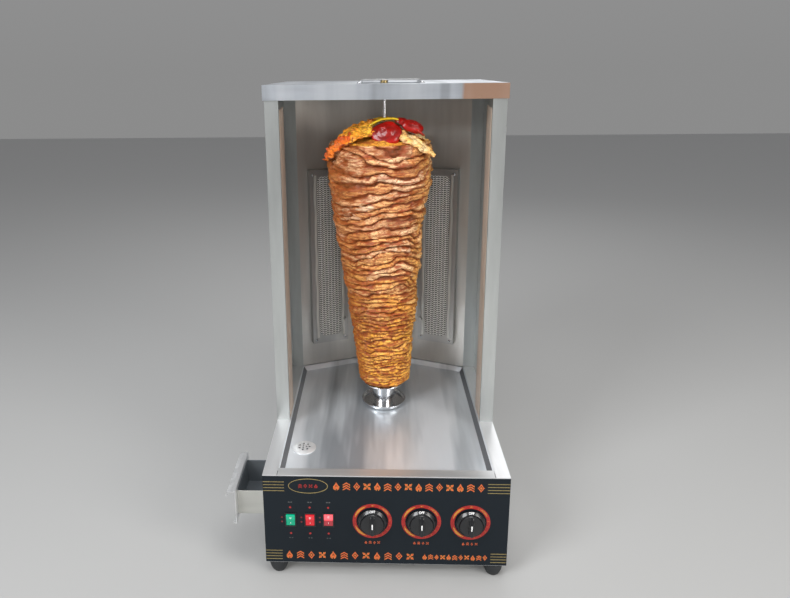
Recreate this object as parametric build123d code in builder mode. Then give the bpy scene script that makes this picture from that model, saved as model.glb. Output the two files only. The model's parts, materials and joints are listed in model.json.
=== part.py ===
from build123d import *
import os

os.makedirs("parts", exist_ok=True)

# ------------------------------------------------------------------ driving dimensions
# Millimetres. X is across the machine, Y runs from front to back, Z is up.
# The origin is on the spit's axis at the height of the table.
base_width = 480.0
base_front = -321.0
base_rear = 262.0
foot_height = 30.0
base_top = 229.0
column_top = 933.0
fascia_height = 30.0
foot_inset = 23.0
foot_setback = 21.0
foot_radius = 19.0
foot_sole = 12.0
foot_bore = 5.5
foot_seat = 12.0
roof_overhang = 3.0
column_front = -114.0
strip_front = 162.0
flange_width = 28.0
niche_rear = 216.0
niche_half_width = 77.0
sheet = 1.2
overlay = 0.6

# clearances
running = 0.06
loose = 0.15
gap = 0.5

# fasteners
screw_radius = 2.0
screw_head_radius = 3.8
screw_head_height = 2.4
screw_length = 8.0
return_flange = 12.0

# front panel controls
lip_depth = 24.0
control_height = 129.0
knob_pitch = 96.0
first_knob_x = -26.0
rocker_height = 130.0
rocker_positions = {"left": -187.5, "middle": -149.0, "right": -112.5}
rocker_rest_tilt = {"left": 7.0, "middle": 7.0, "right": -7.0}

# tray
tray_drop = 11.8
tray_slope = 8.0
tray_lap = 6.0
collar_radius = 10.0
collar_height = 7.0
drain_inset = 70.5
drain_setback = 114.0
drain_radius = 20.0
spout_length = 40.0

# spit drive
shaft_radius = 7.0
post_radius = 22.0
post_rise = 29.0
dish_radius = 52.0
dish_height = 8.8
dish_gap = 1.0
tang_length = 20.0
tang_width = 8.0
tang_height = 8.0
sleeve_wall = 3.4
sleeve_gap = 5.0
spit_radius = 4.0
spit_into_roof = 25.0
spit_disc_radius = 48.0
spit_disc_thickness = 3.0

# burners
burner_width = 96.0
burner_rise = 66.0
burner_top_gap = 181.0
burner_proud = 20.0
mesh_width = 59.0
mesh_cell_width = 11.6
mesh_cell_height = 15.0
mesh_hole = 5.0
mesh_border = 18.5
plenum_width = 64.0
plenum_border = 13.5
plenum_front = 15.0
plenum_back = -28.0
plaque_thickness = 12.0
plaques_per_burner = 3
mixer_radius = 12.0
mixer_rise = 9.0
injector_height = 14.0
strip_width = 11.0
strip_height = 52.0
burner_screw_inset = 9.5

# gas line
valve_width = 26.0
valve_front_gap = 6.0
valve_length = 52.0
spindle_radius = 4.0
manifold_size = 18.0
pipe_radius = 3.0
inlet_inset = 35.0
inlet_nut_radius = 13.0
inlet_bore = 4.5
inlet_pipe_radius = 6.0
inlet_thread_radius = 10.2
inlet_thread_length = 20.0

# knobs
skirt_radius = 29.0
cap_radius = 24.5
knob_gap = 4.5
skirt_thickness = 3.0
cap_thickness = 6.0
grip_height = 7.0
grip_width = 9.0

# fat drawer, shown pulled out
drawer_setback = 33.0
drawer_depth = 107.0
drawer_drop = 112.0
drawer_height = 53.0
drawer_length = 130.0
drawer_open = 59.0
drawer_sheet = 1.0
plate_margin = 16.0
plate_below = 12.0
plate_above = 10.0
lip_reach = 19.0

# roof plate
plate_left = -57.0
plate_right = 83.0
plate_front = -50.0
plate_rear = 60.0
plate_rise = 7.0
plate_flange = 10.0
bush_radius = 8.0
bush_flange_radius = 12.0

# rear cover
slot_length = 110.0
slot_height = 6.0
slot_pitch = 16.0
slot_columns_apart = 150.0
gland_inset = 50.0
gland_height = 90.0
gland_radius = 9.0
gland_bore = 4.0

# rocker switches
housing_width = 20.0
housing_height = 28.0
housing_depth = 24.0
bezel_margin = 1.3
bezel_thickness = 1.5

# meat
meat_headroom = 49.0
meat_profile = [
    (60, 0.044),
    (68, 0.175),
    (78, 0.331),
    (92, 0.552),
    (103, 0.715),
]
meat_shoulder = (112, 0.863)
meat_crown = [(100, 0.925), (66, 0.974)]

# ------------------------------------------------------------------ derived sizes
half_width = base_width / 2
skin_inner = half_width - sheet
ledge_inner = half_width - flange_width
strip_inner = skin_inner - flange_width
roof_top = column_top + fascia_height
panel_face = base_front + overlay
lip_rear = base_front + lip_depth
rim_top = base_top - sheet
tray_bottom = rim_top - tray_drop
tray_floor = tray_bottom + sheet
post_top = base_top + post_rise
sleeve_bottom = base_top + sleeve_gap
spit_seat = post_top + tang_height + 4
spit_top = column_top + spit_into_roof
burner_bottom = base_top + burner_rise
burner_height = column_top - burner_top_gap - burner_bottom
burner_middle = burner_bottom + burner_height / 2
mesh_height = burner_height - 2 * mesh_border
plenum_height = burner_height - 2 * plenum_border
mixer_bottom = base_top + mixer_rise
drain_x = drain_inset - half_width
drain_y = base_front + drain_setback
drawer_front_edge = base_front + drawer_setback
drawer_bottom = base_top - drawer_drop
plate_bottom = drawer_bottom - plate_below
plate_top = drawer_bottom + drawer_height + plate_above
inlet_x = half_width - inlet_inset
gland_x = gland_inset - half_width
valve_positions = {
    "left": first_knob_x,
    "centre": first_knob_x + knob_pitch,
    "right": first_knob_x + 2 * knob_pitch,
}


def sheet_outline(points, thickness):
    """Corners of a sheet folded along the points and thickened to the left of the path."""
    corners = [Vector(*point) for point in points]
    runs = [(b - a).normalized() for a, b in zip(corners, corners[1:])]
    normals = [Vector(-run.Y, run.X) for run in runs]
    other_side = []
    for index, corner in enumerate(corners):
        before = normals[max(index - 1, 0)]
        after = normals[min(index, len(normals) - 1)]
        other_side.append(corner + (before + after) * (thickness / (1 + before.dot(after))))
    return corners + other_side[::-1]


def slab(x, y, z, mode=Mode.ADD):
    """A box between two X, two Y and two Z limits, in the part being built."""
    with Locations(((x[0] + x[1]) / 2, (y[0] + y[1]) / 2, (z[0] + z[1]) / 2)):
        Box(x[1] - x[0], y[1] - y[0], z[1] - z[0], mode=mode)


def facing_front(y):
    """A plane at this Y that faces the cook, with +X to the right and +Z up."""
    return Plane.XZ.offset(-y)


def bore(plane, radius, depth):
    """Cuts a round hole both ways from a plane, in the part being built."""
    with Locations(plane):
        Cylinder(radius, 2 * depth, mode=Mode.SUBTRACT)


def screw(plane, length=screw_length):
    """Adds one pan head screw: the head stands on the plane and the shank goes in."""
    with Locations(plane):
        Cylinder(screw_head_radius, screw_head_height, align=(Align.CENTER, Align.CENTER, Align.MIN))
        Cylinder(screw_radius, length, align=(Align.CENTER, Align.CENTER, Align.MAX))


# ------------------------------------------------------------------ screw places
foot_x = half_width - foot_inset
foot_places = [(x, y) for x in (-foot_x, foot_x) for y in (base_front + foot_setback, base_rear - foot_setback)]
side_signs = {"left": -1, "right": 1}

lowest_row = base_top + 71
highest_row = column_top - 18
row_pitch = (highest_row - lowest_row) / 3
rear_heights = [foot_height + 30, base_top - 39] + [lowest_row + row * row_pitch for row in range(4)]
rear_screws = [
    Plane((sign * (half_width - 7), base_rear, height), x_dir=(1, 0, 0), z_dir=(0, 1, 0))
    for sign in (-1, 1)
    for height in rear_heights
]
roof_screws = [
    Plane((sign * (half_width + roof_overhang), y, column_top + 8), x_dir=(0, 1, 0), z_dir=(sign, 0, 0))
    for sign in (-1, 1)
    for y in (column_front + 54, (column_front + base_rear) / 2, base_rear - 42)
]
column_middle = (base_top + column_top) / 2
front_row = [(column_front + 16, height) for height in (base_top + 102, column_middle, column_top - 28)]
back_row = [(strip_front - 18, height) for height in (base_top + 43, column_middle, column_top - 28)]
side_screws = [
    Plane((sign * half_width, y, height), x_dir=(0, 1, 0), z_dir=(sign, 0, 0))
    for sign in (-1, 1)
    for y, height in front_row + back_row
]
floor_screws = [
    Plane((sign * half_width, y, foot_height + 8), x_dir=(0, 1, 0), z_dir=(sign, 0, 0))
    for sign in (-1, 1)
    for y in (base_front + 61, -60, base_rear - 62)
]
lid_screws = [
    Plane((x, y, roof_top + sheet), x_dir=(1, 0, 0), z_dir=(0, 0, 1))
    for x in (plate_left + plate_flange / 2, plate_right - plate_flange / 2)
    for y in (plate_front + 15, plate_rear - 15)
]
bracket_top = tray_bottom - 20.0
motor_screws = [
    Plane((x, y, bracket_top), x_dir=(1, 0, 0), z_dir=(0, 0, 1)) for x in (-36, 36) for y in (-26, 26)
]

# ------------------------------------------------------------------ base
with BuildPart() as bottom_plate:
    floor_y = (panel_face + sheet, base_rear - sheet)
    slab((-skin_inner, skin_inner), floor_y, (foot_height, foot_height + sheet))
    for sign in (-1, 1):
        side = sorted((sign * skin_inner, sign * (skin_inner - sheet)))
        slab(side, (panel_face + 2 * sheet, base_rear - 3 * sheet), (foot_height, foot_height + 16))
    with Locations((0, 0, foot_height)):
        with GridLocations(150, 40, 2, 5):
            Box(70, 8, 6 * sheet, mode=Mode.SUBTRACT)
    for x, y in foot_places:
        bore(Plane((x, y, foot_height)), screw_radius + loose, 4)
    for place in floor_screws:
        bore(place, screw_radius + loose, 5)
bottom_plate.part.label = "bottom_plate"
export_step(bottom_plate.part, "parts/bottom_plate.step")

with BuildPart() as front_panel:
    lip = [
        (panel_face, foot_height),
        (panel_face, base_top),
        (lip_rear, base_top),
    ]
    with BuildSketch(Plane.YZ.offset(-ledge_inner + 1)):
        with BuildLine():
            Polyline(*sheet_outline(lip, -sheet), close=True)
        make_face()
    extrude(amount=2 * ledge_inner - 2)
    slab((-half_width, half_width), (panel_face, panel_face + sheet), (foot_height, rim_top))
    for x in valve_positions.values():
        bore(facing_front(panel_face) * Location((x, control_height, 0)), spindle_radius + 1.5, 5)
    for x in rocker_positions.values():
        with BuildSketch(facing_front(panel_face - 2)):
            with Locations((x, rocker_height)):
                Rectangle(housing_width + 2 * loose, housing_height + 2 * loose)
        extrude(amount=-6, mode=Mode.SUBTRACT)
front_panel.part.label = "front_panel"
export_step(front_panel.part, "parts/front_panel.step")

with BuildPart() as control_overlay:
    slab((-half_width, half_width), (base_front, panel_face), (foot_height + 1, rim_top - 0.8))
    for x in valve_positions.values():
        bore(facing_front(base_front) * Location((x, control_height, 0)), spindle_radius + 1.5, 5)
    for x in rocker_positions.values():
        with BuildSketch(facing_front(base_front - 2)):
            with Locations((x, rocker_height)):
                Rectangle(housing_width + 2 * loose, housing_height + 2 * loose)
        extrude(amount=-6, mode=Mode.SUBTRACT)
control_overlay.part.label = "control_overlay"
export_step(control_overlay.part, "parts/control_overlay.step")

drawer_rear_edge = drawer_front_edge + drawer_depth
for name, sign in side_signs.items():
    with BuildPart() as side_panel:
        skin = sorted((sign * half_width, sign * skin_inner))
        ledge = sorted((sign * half_width, sign * ledge_inner))
        rear_flange = sorted((sign * half_width, sign * (half_width - return_flange)))
        slab(skin, (panel_face + sheet, base_rear - sheet), (foot_height, base_top))
        slab(ledge, (panel_face, strip_front), (rim_top, base_top))
        slab(rear_flange, (base_rear - 2 * sheet, base_rear - sheet), (foot_height + 4, base_top))
        if sign < 0:
            hole_y = (drawer_front_edge - 2, drawer_rear_edge + 2)
            hole_z = (drawer_bottom - 2, drawer_bottom + drawer_height + 2)
            slab((-half_width - 2, -skin_inner + 2), hole_y, hole_z, mode=Mode.SUBTRACT)
        for place in rear_screws + floor_screws:
            bore(place, screw_radius + loose, 5)
    side_panel.part.label = f"{name}_side_panel"
    export_step(side_panel.part, f"parts/{name}_side_panel.step")

# ------------------------------------------------------------------ columns and roof
for name, sign in side_signs.items():
    with BuildPart() as column:
        path = [
            (sign * ledge_inner, column_front),
            (sign * half_width, column_front),
            (sign * half_width, base_rear - sheet),
            (sign * (half_width - return_flange), base_rear - sheet),
        ]
        with BuildSketch(Plane.XY.offset(base_top)):
            with BuildLine():
                Polyline(*sheet_outline(path, sign * sheet), close=True)
            make_face()
        extrude(amount=column_top - base_top)
        strip = sorted((sign * skin_inner, sign * strip_inner))
        slab(strip, (strip_front, strip_front + sheet), (base_top, column_top))
        for place in rear_screws + side_screws:
            bore(place, screw_radius + loose, 5)
    column.part.label = f"{name}_column"
    export_step(column.part, f"parts/{name}_column.step")

with BuildPart() as rear_cover:
    edge = half_width - 1
    slab((-edge, edge), (base_rear - sheet, base_rear), (foot_height + 2, column_top - 2))
    with BuildSketch(facing_front(base_rear)):
        with Locations((0, column_top - 133)):
            with GridLocations(slot_columns_apart, slot_pitch, 2, 8):
                SlotOverall(slot_length, slot_height)
        with Locations((0, base_top - 99)):
            with GridLocations(slot_columns_apart, slot_pitch, 2, 5):
                SlotOverall(slot_length, slot_height)
        with Locations((inlet_x, control_height - valve_width / 2 - manifold_size / 2)):
            Circle(gland_radius + loose)
        with Locations((gland_x, gland_height)):
            Circle(gland_radius + loose)
    extrude(amount=2 * sheet, both=True, mode=Mode.SUBTRACT)
    for place in rear_screws:
        bore(place, screw_radius + loose, 5)
rear_cover.part.label = "rear_cover"
export_step(rear_cover.part, "parts/rear_cover.step")

roof_half = half_width + roof_overhang
roof_front = column_front - roof_overhang
roof_rear = base_rear + roof_overhang
with BuildPart() as roof_cover:
    slab((-roof_half, roof_half), (roof_front, roof_rear), (column_top, roof_top))
    inner_x = (-roof_half + sheet, roof_half - sheet)
    inner_y = (roof_front + sheet, roof_rear - sheet)
    slab(inner_x, inner_y, (column_top - 1, roof_top - sheet), mode=Mode.SUBTRACT)
    for place in roof_screws:
        bore(place, screw_radius + loose, 5)
    for place in lid_screws:
        bore(place, screw_radius + loose, 10)
    bore(Plane((0, 0, roof_top)), bush_radius + loose, 5)
roof_cover.part.label = "roof_cover"
export_step(roof_cover.part, "parts/roof_cover.step")

with BuildPart() as roof_underplate:
    plate_x = (-roof_half + sheet, roof_half - sheet)
    plate_y = (roof_front + sheet, roof_rear - sheet)
    slab(plate_x, plate_y, (column_top, column_top + sheet))
    for sign in (-1, 1):
        upturn = sorted((sign * (roof_half - sheet), sign * (roof_half - 2 * sheet)))
        slab(upturn, (plate_y[0] + 4, plate_y[1] - 4), (column_top, column_top + 18))
    for place in roof_screws:
        bore(place, screw_radius + loose, 5)
    bore(Plane((0, 0, column_top)), bush_radius + loose, 5)
roof_underplate.part.label = "roof_underplate"
export_step(roof_underplate.part, "parts/roof_underplate.step")

with BuildPart() as top_bearing_plate:
    hat = [
        (plate_left, roof_top),
        (plate_left + plate_flange, roof_top),
        (plate_left + plate_flange, roof_top + plate_rise - sheet),
        (plate_right - plate_flange, roof_top + plate_rise - sheet),
        (plate_right - plate_flange, roof_top),
        (plate_right, roof_top),
    ]
    with BuildSketch(facing_front(plate_rear)):
        with BuildLine():
            Polyline(*sheet_outline(hat, sheet), close=True)
        make_face()
    extrude(amount=plate_rear - plate_front)
    for place in lid_screws:
        bore(place, screw_radius + loose, 3)
    bore(Plane((0, 0, roof_top + plate_rise)), bush_radius + loose, 4)
top_bearing_plate.part.label = "top_bearing_plate"
export_step(top_bearing_plate.part, "parts/top_bearing_plate.step")

with BuildPart() as top_bush:
    with BuildSketch(Plane.XY.offset(column_top - 3)):
        Circle(bush_flange_radius)
        Circle(spit_radius + running, mode=Mode.SUBTRACT)
    extrude(amount=3)
    with BuildSketch(Plane.XY.offset(column_top)):
        Circle(bush_radius)
        Circle(spit_radius + running, mode=Mode.SUBTRACT)
    extrude(amount=fascia_height + plate_rise - 0.5)
top_bush.part.label = "top_bush"
export_step(top_bush.part, "parts/top_bush.step")

# ------------------------------------------------------------------ burner wall and tray
wall_half = strip_inner - 0.8
wall_path = [
    (-wall_half - 20, strip_front + sheet),
    (-wall_half, strip_front + sheet),
    (-niche_half_width, niche_rear),
    (niche_half_width, niche_rear),
    (wall_half, strip_front + sheet),
    (wall_half + 20, strip_front + sheet),
]
slope = (Vector(niche_half_width, niche_rear) - Vector(wall_half, strip_front + sheet)).normalized()
slope_middle = (Vector(niche_half_width, niche_rear) + Vector(wall_half, strip_front + sheet)) * 0.5
burner_planes = {
    "left": Plane(
        (-slope_middle.X, slope_middle.Y, burner_middle),
        x_dir=(-slope.X, slope.Y, 0),
        z_dir=(slope.Y, slope.X, 0),
    ),
    "centre": Plane((0, niche_rear, burner_middle), x_dir=(1, 0, 0), z_dir=(0, -1, 0)),
    "right": Plane(
        (slope_middle.X, slope_middle.Y, burner_middle),
        x_dir=(-slope.X, -slope.Y, 0),
        z_dir=(-slope.Y, slope.X, 0),
    ),
}
inner_edge = {"left": 1, "centre": -1, "right": -1}
screw_column = burner_width / 2 - 9
screw_row = burner_height / 2 - burner_screw_inset
burner_screw_places = [(x, z) for x in (-screw_column, screw_column) for z in (-screw_row, screw_row - 2)]

with BuildPart() as burner_wall:
    with BuildSketch(Plane.XY.offset(base_top)):
        with BuildLine():
            Polyline(*sheet_outline(wall_path, sheet), close=True)
        make_face()
    extrude(amount=column_top - base_top)
    for plane in burner_planes.values():
        with BuildSketch(plane.offset(-5)):
            Rectangle(plenum_width + 4, plenum_height + 4)
        extrude(amount=8, mode=Mode.SUBTRACT)
        for x, z in burner_screw_places:
            bore(plane * Location((x, z, 0)), screw_radius + loose, 4)
burner_wall.part.label = "burner_wall"
export_step(burner_wall.part, "parts/burner_wall.step")

rim_half = ledge_inner - 1
rim_points = [
    (-rim_half, lip_rear),
    (rim_half, lip_rear),
    (rim_half, strip_front),
    (niche_half_width, niche_rear),
    (-niche_half_width, niche_rear),
    (-rim_half, strip_front),
]


def tray_section(height, inset):
    """The tray's plan at a height, moved in from the rim all round."""
    with BuildSketch(Plane.XY.offset(height)) as section:
        with BuildLine():
            Polyline(*rim_points, close=True)
        make_face()
        offset(amount=-inset, kind=Kind.INTERSECTION, mode=Mode.REPLACE)
    return section.sketch


tray_outside = [tray_section(tray_bottom, tray_slope + 1), tray_section(rim_top, 1)]
tray_inside = [tray_section(tray_floor, tray_slope + 1 + sheet), tray_section(rim_top, 1 + sheet)]
tray_rim = tray_section(rim_top - sheet, -tray_lap)
drain_plane = Plane((drain_x, drain_y, tray_bottom))

with BuildPart() as tray_pan:
    loft(sections=tray_outside, ruled=True)
    extrude(tray_rim, amount=sheet)
    loft(sections=tray_inside, ruled=True, mode=Mode.SUBTRACT)
    with BuildSketch(Plane.XY.offset(tray_bottom)):
        Circle(collar_radius + sheet)
    extrude(amount=collar_height)
    bore(Plane((0, 0, tray_bottom)), collar_radius, 20)
    with BuildSketch(drain_plane):
        Circle(drain_radius + sheet)
    extrude(amount=-spout_length)
    bore(drain_plane, drain_radius, spout_length + 10)
tray_pan.part.label = "tray_pan"
export_step(tray_pan.part, "parts/tray_pan.step")

with BuildPart() as drain_strainer:
    strainer_radius = drain_radius + 4.75
    with BuildSketch(Plane.XZ) as strainer_half:
        with BuildLine():
            Polyline((0, 4), (0, 3), (15, 2.2), (drain_radius - 2, 0.8), (drain_radius - 2, -6))
            Polyline((drain_radius - 2, -6), (drain_radius - 1, -6), (drain_radius - 1, 0))
            Polyline((drain_radius - 1, 0), (strainer_radius, 0), (strainer_radius, 1))
            Polyline((strainer_radius, 1), (drain_radius, 2.2), (14, 3.4), (0, 4))
        make_face()
    revolve(axis=Axis.Z)
    with BuildSketch(Plane.XY.offset(-1)):
        with PolarLocations(11, 7):
            Circle(2)
    extrude(amount=8, mode=Mode.SUBTRACT)
drain_strainer.part.position = (drain_x, drain_y, tray_floor + 0.1)
drain_strainer.part.label = "drain_strainer"
export_step(drain_strainer.part, "parts/drain_strainer.step")

# ------------------------------------------------------------------ feet and screws
with BuildPart() as rubber_feet:
    for x, y in foot_places:
        with BuildSketch(Plane((x, y, 0), x_dir=(1, 0, 0), z_dir=(0, -1, 0))):
            with BuildLine():
                Line((foot_bore, 0), (foot_sole, 0))
                ThreePointArc((foot_sole, 0), (foot_radius - 2, 9), (foot_radius, foot_height - 6))
                Line((foot_radius, foot_height - 6), (foot_radius, foot_height))
                Line((foot_radius, foot_height), (foot_bore, foot_height))
                Line((foot_bore, foot_height), (foot_bore, 0))
            make_face()
        revolve(axis=Axis((x, y, 0), (0, 0, 1)))
        with BuildSketch(Plane((x, y, foot_seat))):
            Circle(foot_bore + 0.5)
            Circle(screw_radius + loose, mode=Mode.SUBTRACT)
        extrude(amount=foot_height - foot_seat)
rubber_feet.part.label = "rubber_feet"
export_step(rubber_feet.part, "parts/rubber_feet.step")

with BuildPart() as foot_screws:
    for x, y in foot_places:
        shank = foot_height - foot_seat + sheet + 5
        screw(Plane((x, y, foot_seat), x_dir=(1, 0, 0), z_dir=(0, 0, -1)), length=shank)
foot_screws.part.label = "foot_screws"
export_step(foot_screws.part, "parts/foot_screws.step")

with BuildPart() as case_screws:
    for place in rear_screws + roof_screws + side_screws + floor_screws + lid_screws:
        screw(place)
    for place in motor_screws:
        screw(place)
case_screws.part.label = "case_screws"
export_step(case_screws.part, "parts/case_screws.step")

# ------------------------------------------------------------------ burners
mixer_axis_depth = plenum_back + mixer_radius + 1
for name, plane in burner_planes.items():
    throat = plane.from_local_coords(Vector(0, 0, mixer_axis_depth))
    throat_x = throat.X
    throat_y = throat.Y
    with BuildPart() as burner_body:
        with BuildSketch(plane.offset(plenum_back)):
            Rectangle(plenum_width, plenum_height)
        extrude(amount=plenum_front - plenum_back)
        with BuildSketch(plane.offset(plenum_back + 1.5)):
            Rectangle(plenum_width - 3, plenum_height - 3)
        extrude(amount=plenum_front - plenum_back, mode=Mode.SUBTRACT)
        plenum_bottom = burner_middle - plenum_height / 2
        with BuildSketch(Plane((throat_x, throat_y, mixer_bottom))):
            Circle(mixer_radius)
        extrude(amount=plenum_bottom - mixer_bottom)
        bore(Plane((throat_x, throat_y, mixer_bottom + 2 + 40)), mixer_radius - 1.5, 40)
        with BuildSketch(Plane((throat_x, throat_y, mixer_bottom + 2 + 70))):
            Circle(mixer_radius - 1.5)
        extrude(amount=8, mode=Mode.SUBTRACT)
        bore(Plane((throat_x, throat_y, mixer_bottom)), pipe_radius + 2 + loose, 3)
        with Locations((throat_x, throat_y, mixer_bottom + 12)):
            Box(3 * mixer_radius, 12, 12, mode=Mode.SUBTRACT)
    burner_body.part.label = f"{name}_burner_body"
    export_step(burner_body.part, f"parts/{name}_burner_body.step")

with BuildPart() as burner_frames:
    for plane in burner_planes.values():
        with BuildSketch(plane):
            Rectangle(burner_width, burner_height)
        extrude(amount=burner_proud)
        with BuildSketch(plane):
            Rectangle(burner_width - 2 * sheet, burner_height - 2 * sheet)
        extrude(amount=burner_proud - sheet, mode=Mode.SUBTRACT)
        with BuildSketch(plane.offset(burner_proud - 2 * sheet)):
            with Locations((0, 1.5)):
                window = Rectangle(mesh_width, mesh_height)
            chamfer(window.vertices().group_by(Axis.Z)[0], length=9)
        extrude(amount=3 * sheet, mode=Mode.SUBTRACT)
        for x, z in burner_screw_places:
            bore(plane * Location((x, z, burner_proud)), screw_radius + loose, 4)
burner_frames.part.label = "burner_frames"
export_step(burner_frames.part, "parts/burner_frames.step")

with BuildPart() as burner_meshes:
    for plane in burner_planes.values():
        with BuildSketch(plane.offset(burner_proud - 2 * sheet)):
            with Locations((0, 1.5)):
                Rectangle(mesh_width + 3, mesh_height + 3)
                mesh_rows = int(mesh_height / mesh_cell_height)
                with GridLocations(mesh_cell_width, mesh_cell_height, 5, mesh_rows):
                    RegularPolygon(mesh_hole, 4, rotation=45, mode=Mode.SUBTRACT)
        extrude(amount=sheet)
burner_meshes.part.label = "burner_meshes"
export_step(burner_meshes.part, "parts/burner_meshes.step")

with BuildPart() as ceramic_plaques:
    plaque_pitch = (plenum_height - 4) / plaques_per_burner
    for plane in burner_planes.values():
        with BuildSketch(plane.offset(2)):
            with GridLocations(10, plaque_pitch, 1, plaques_per_burner):
                Rectangle(plenum_width - 4, plaque_pitch - 1)
        extrude(amount=plaque_thickness)
ceramic_plaques.part.label = "ceramic_plaques"
export_step(ceramic_plaques.part, "parts/ceramic_plaques.step")

with BuildPart() as thermocouples:
    strip_middle = -burner_height / 2 + 42.5
    for name, plane in burner_planes.items():
        across = inner_edge[name] * (screw_column - 0.2)
        with BuildSketch(plane.offset(burner_proud)):
            with Locations((across, strip_middle)):
                Rectangle(strip_width, strip_height)
        extrude(amount=sheet)
        with BuildSketch(plane.offset(burner_proud + sheet)):
            with Locations((across, strip_middle + 18)):
                Circle(strip_width / 2 - 1)
        extrude(amount=9)
thermocouples.part.label = "thermocouples"
export_step(thermocouples.part, "parts/thermocouples.step")

with BuildPart() as burner_screws:
    for plane in burner_planes.values():
        for x, z in burner_screw_places:
            screw(plane * Location((x, z, burner_proud)), length=burner_proud + 4)
burner_screws.part.label = "burner_screws"
export_step(burner_screws.part, "parts/burner_screws.step")

# ------------------------------------------------------------------ gas line
valve_front = panel_face + sheet + valve_front_gap
valve_rear = valve_front + valve_length
manifold_top = control_height - valve_width / 2
injector_base = mixer_bottom - injector_height

with BuildPart() as gas_injectors:
    for plane in burner_planes.values():
        throat = plane.from_local_coords(Vector(0, 0, mixer_axis_depth))
        with BuildSketch(Plane((throat.X, throat.Y, injector_base))):
            RegularPolygon(7, 6)
            Circle(pipe_radius + loose, mode=Mode.SUBTRACT)
        extrude(amount=mixer_bottom - injector_base)
        with BuildSketch(Plane((throat.X, throat.Y, mixer_bottom))):
            Circle(pipe_radius + 2)
            Circle(0.5, mode=Mode.SUBTRACT)
        extrude(amount=7)
gas_injectors.part.label = "gas_injectors"
export_step(gas_injectors.part, "parts/gas_injectors.step")

for name, x in valve_positions.items():
    with BuildPart() as gas_valve:
        with BuildSketch(facing_front(valve_rear)):
            with Locations((x, control_height)):
                Rectangle(valve_width, valve_width)
        extrude(amount=valve_length - 14)
        with BuildSketch(facing_front(valve_front + 14)):
            with Locations((x, control_height)):
                Circle(valve_width / 2 - 1)
        extrude(amount=14)
        bore(facing_front(valve_front) * Location((x, control_height, 0)), spindle_radius + running, 20)
        with BuildSketch(facing_front(valve_front + 18 + 14)):
            with Locations((x, control_height)):
                Circle(8)
        extrude(amount=14, mode=Mode.SUBTRACT)
        with BuildSketch(facing_front(valve_rear + 12)):
            with Locations((x, control_height)):
                RegularPolygon(7, 6)
        extrude(amount=12)
        with BuildSketch(facing_front(valve_rear + 12)):
            with Locations((x, control_height)):
                Circle(pipe_radius + loose)
        extrude(amount=10, mode=Mode.SUBTRACT)
    gas_valve.part.label = f"{name}_gas_valve"
    export_step(gas_valve.part, f"parts/{name}_gas_valve.step")

with BuildPart() as gas_manifold:
    manifold_y = valve_front + 14 + manifold_size
    with BuildSketch(Plane.YZ.offset(valve_positions["left"] - 22)):
        with Locations((manifold_y, manifold_top - manifold_size / 2)):
            Rectangle(manifold_size, manifold_size)
            Rectangle(manifold_size - 4, manifold_size - 4, mode=Mode.SUBTRACT)
    extrude(amount=inlet_x + 12 - valve_positions["left"] + 22)
    for x in (valve_positions["left"] - 22, inlet_x + 10):
        height = (manifold_top - manifold_size, manifold_top)
        slab((x, x + 2), (manifold_y - manifold_size / 2, manifold_y + manifold_size / 2), height)
gas_manifold.part.label = "gas_manifold"
export_step(gas_manifold.part, "parts/gas_manifold.step")

pipe_start = valve_rear + 4
pipe_end = strip_front - 52
pipe_turns = {
    "left": [(first_knob_x, pipe_start + 66), (-92, -100), (-92, pipe_end)],
    "centre": [(valve_positions["centre"], pipe_start + 106), (62, pipe_end + 10)],
    "right": [(valve_positions["right"], pipe_start + 136), (valve_positions["right"] - 8, pipe_end)],
}
for name, plane in burner_planes.items():
    throat = plane.from_local_coords(Vector(0, 0, mixer_axis_depth))
    x = valve_positions[name]
    level = [(x, pipe_start)] + pipe_turns[name] + [(throat.X, throat.Y)]
    route = [(px, py, control_height) for px, py in level]
    route.append((throat.X, throat.Y, injector_base + 8))
    with BuildPart() as gas_pipe:
        with BuildLine():
            FilletPolyline(*route, radius=18)
        with BuildSketch(facing_front(pipe_start)):
            with Locations((x, control_height)):
                Circle(pipe_radius)
        sweep()
    gas_pipe.part.label = f"{name}_gas_pipe"
    export_step(gas_pipe.part, f"parts/{name}_gas_pipe.step")

inlet_height = manifold_top - manifold_size / 2
with BuildPart() as gas_inlet:
    inlet_run = base_rear - (manifold_y + manifold_size / 2)
    for start, length, radius in (
        (base_rear, inlet_run, inlet_pipe_radius),
        (base_rear - sheet, 8, inlet_nut_radius),
        (base_rear + 8, 8 + sheet, gland_radius),
        (base_rear + 14, 6, inlet_nut_radius),
        (base_rear + 14 + inlet_thread_length, inlet_thread_length, inlet_thread_radius),
    ):
        with BuildSketch(facing_front(start)):
            with Locations((inlet_x, inlet_height)):
                Circle(radius)
        extrude(amount=length)
    inlet_mouth = facing_front(base_rear + 14 + inlet_thread_length)
    bore(inlet_mouth * Location((inlet_x, inlet_height, 0)), inlet_bore, 60)
gas_inlet.part.label = "gas_inlet"
export_step(gas_inlet.part, "parts/gas_inlet.step")

# ------------------------------------------------------------------ spit drive
with BuildPart() as motor_bracket:
    slab((-60, 60), (-40, 40), (bracket_top - 2, bracket_top))
    for sign in (-1, 1):
        leg = sorted((sign * 60, sign * 58))
        toe = sorted((sign * 60, sign * 78))
        slab(leg, (-40, 40), (bracket_top - 2, tray_bottom))
        slab(toe, (-40, 40), (tray_bottom - 2, tray_bottom))
    bore(Plane((0, 0, bracket_top)), shaft_radius + 5, 6)
    for place in motor_screws:
        bore(place, screw_radius + loose, 5)
motor_bracket.part.label = "motor_bracket"
export_step(motor_bracket.part, "parts/motor_bracket.step")

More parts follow.
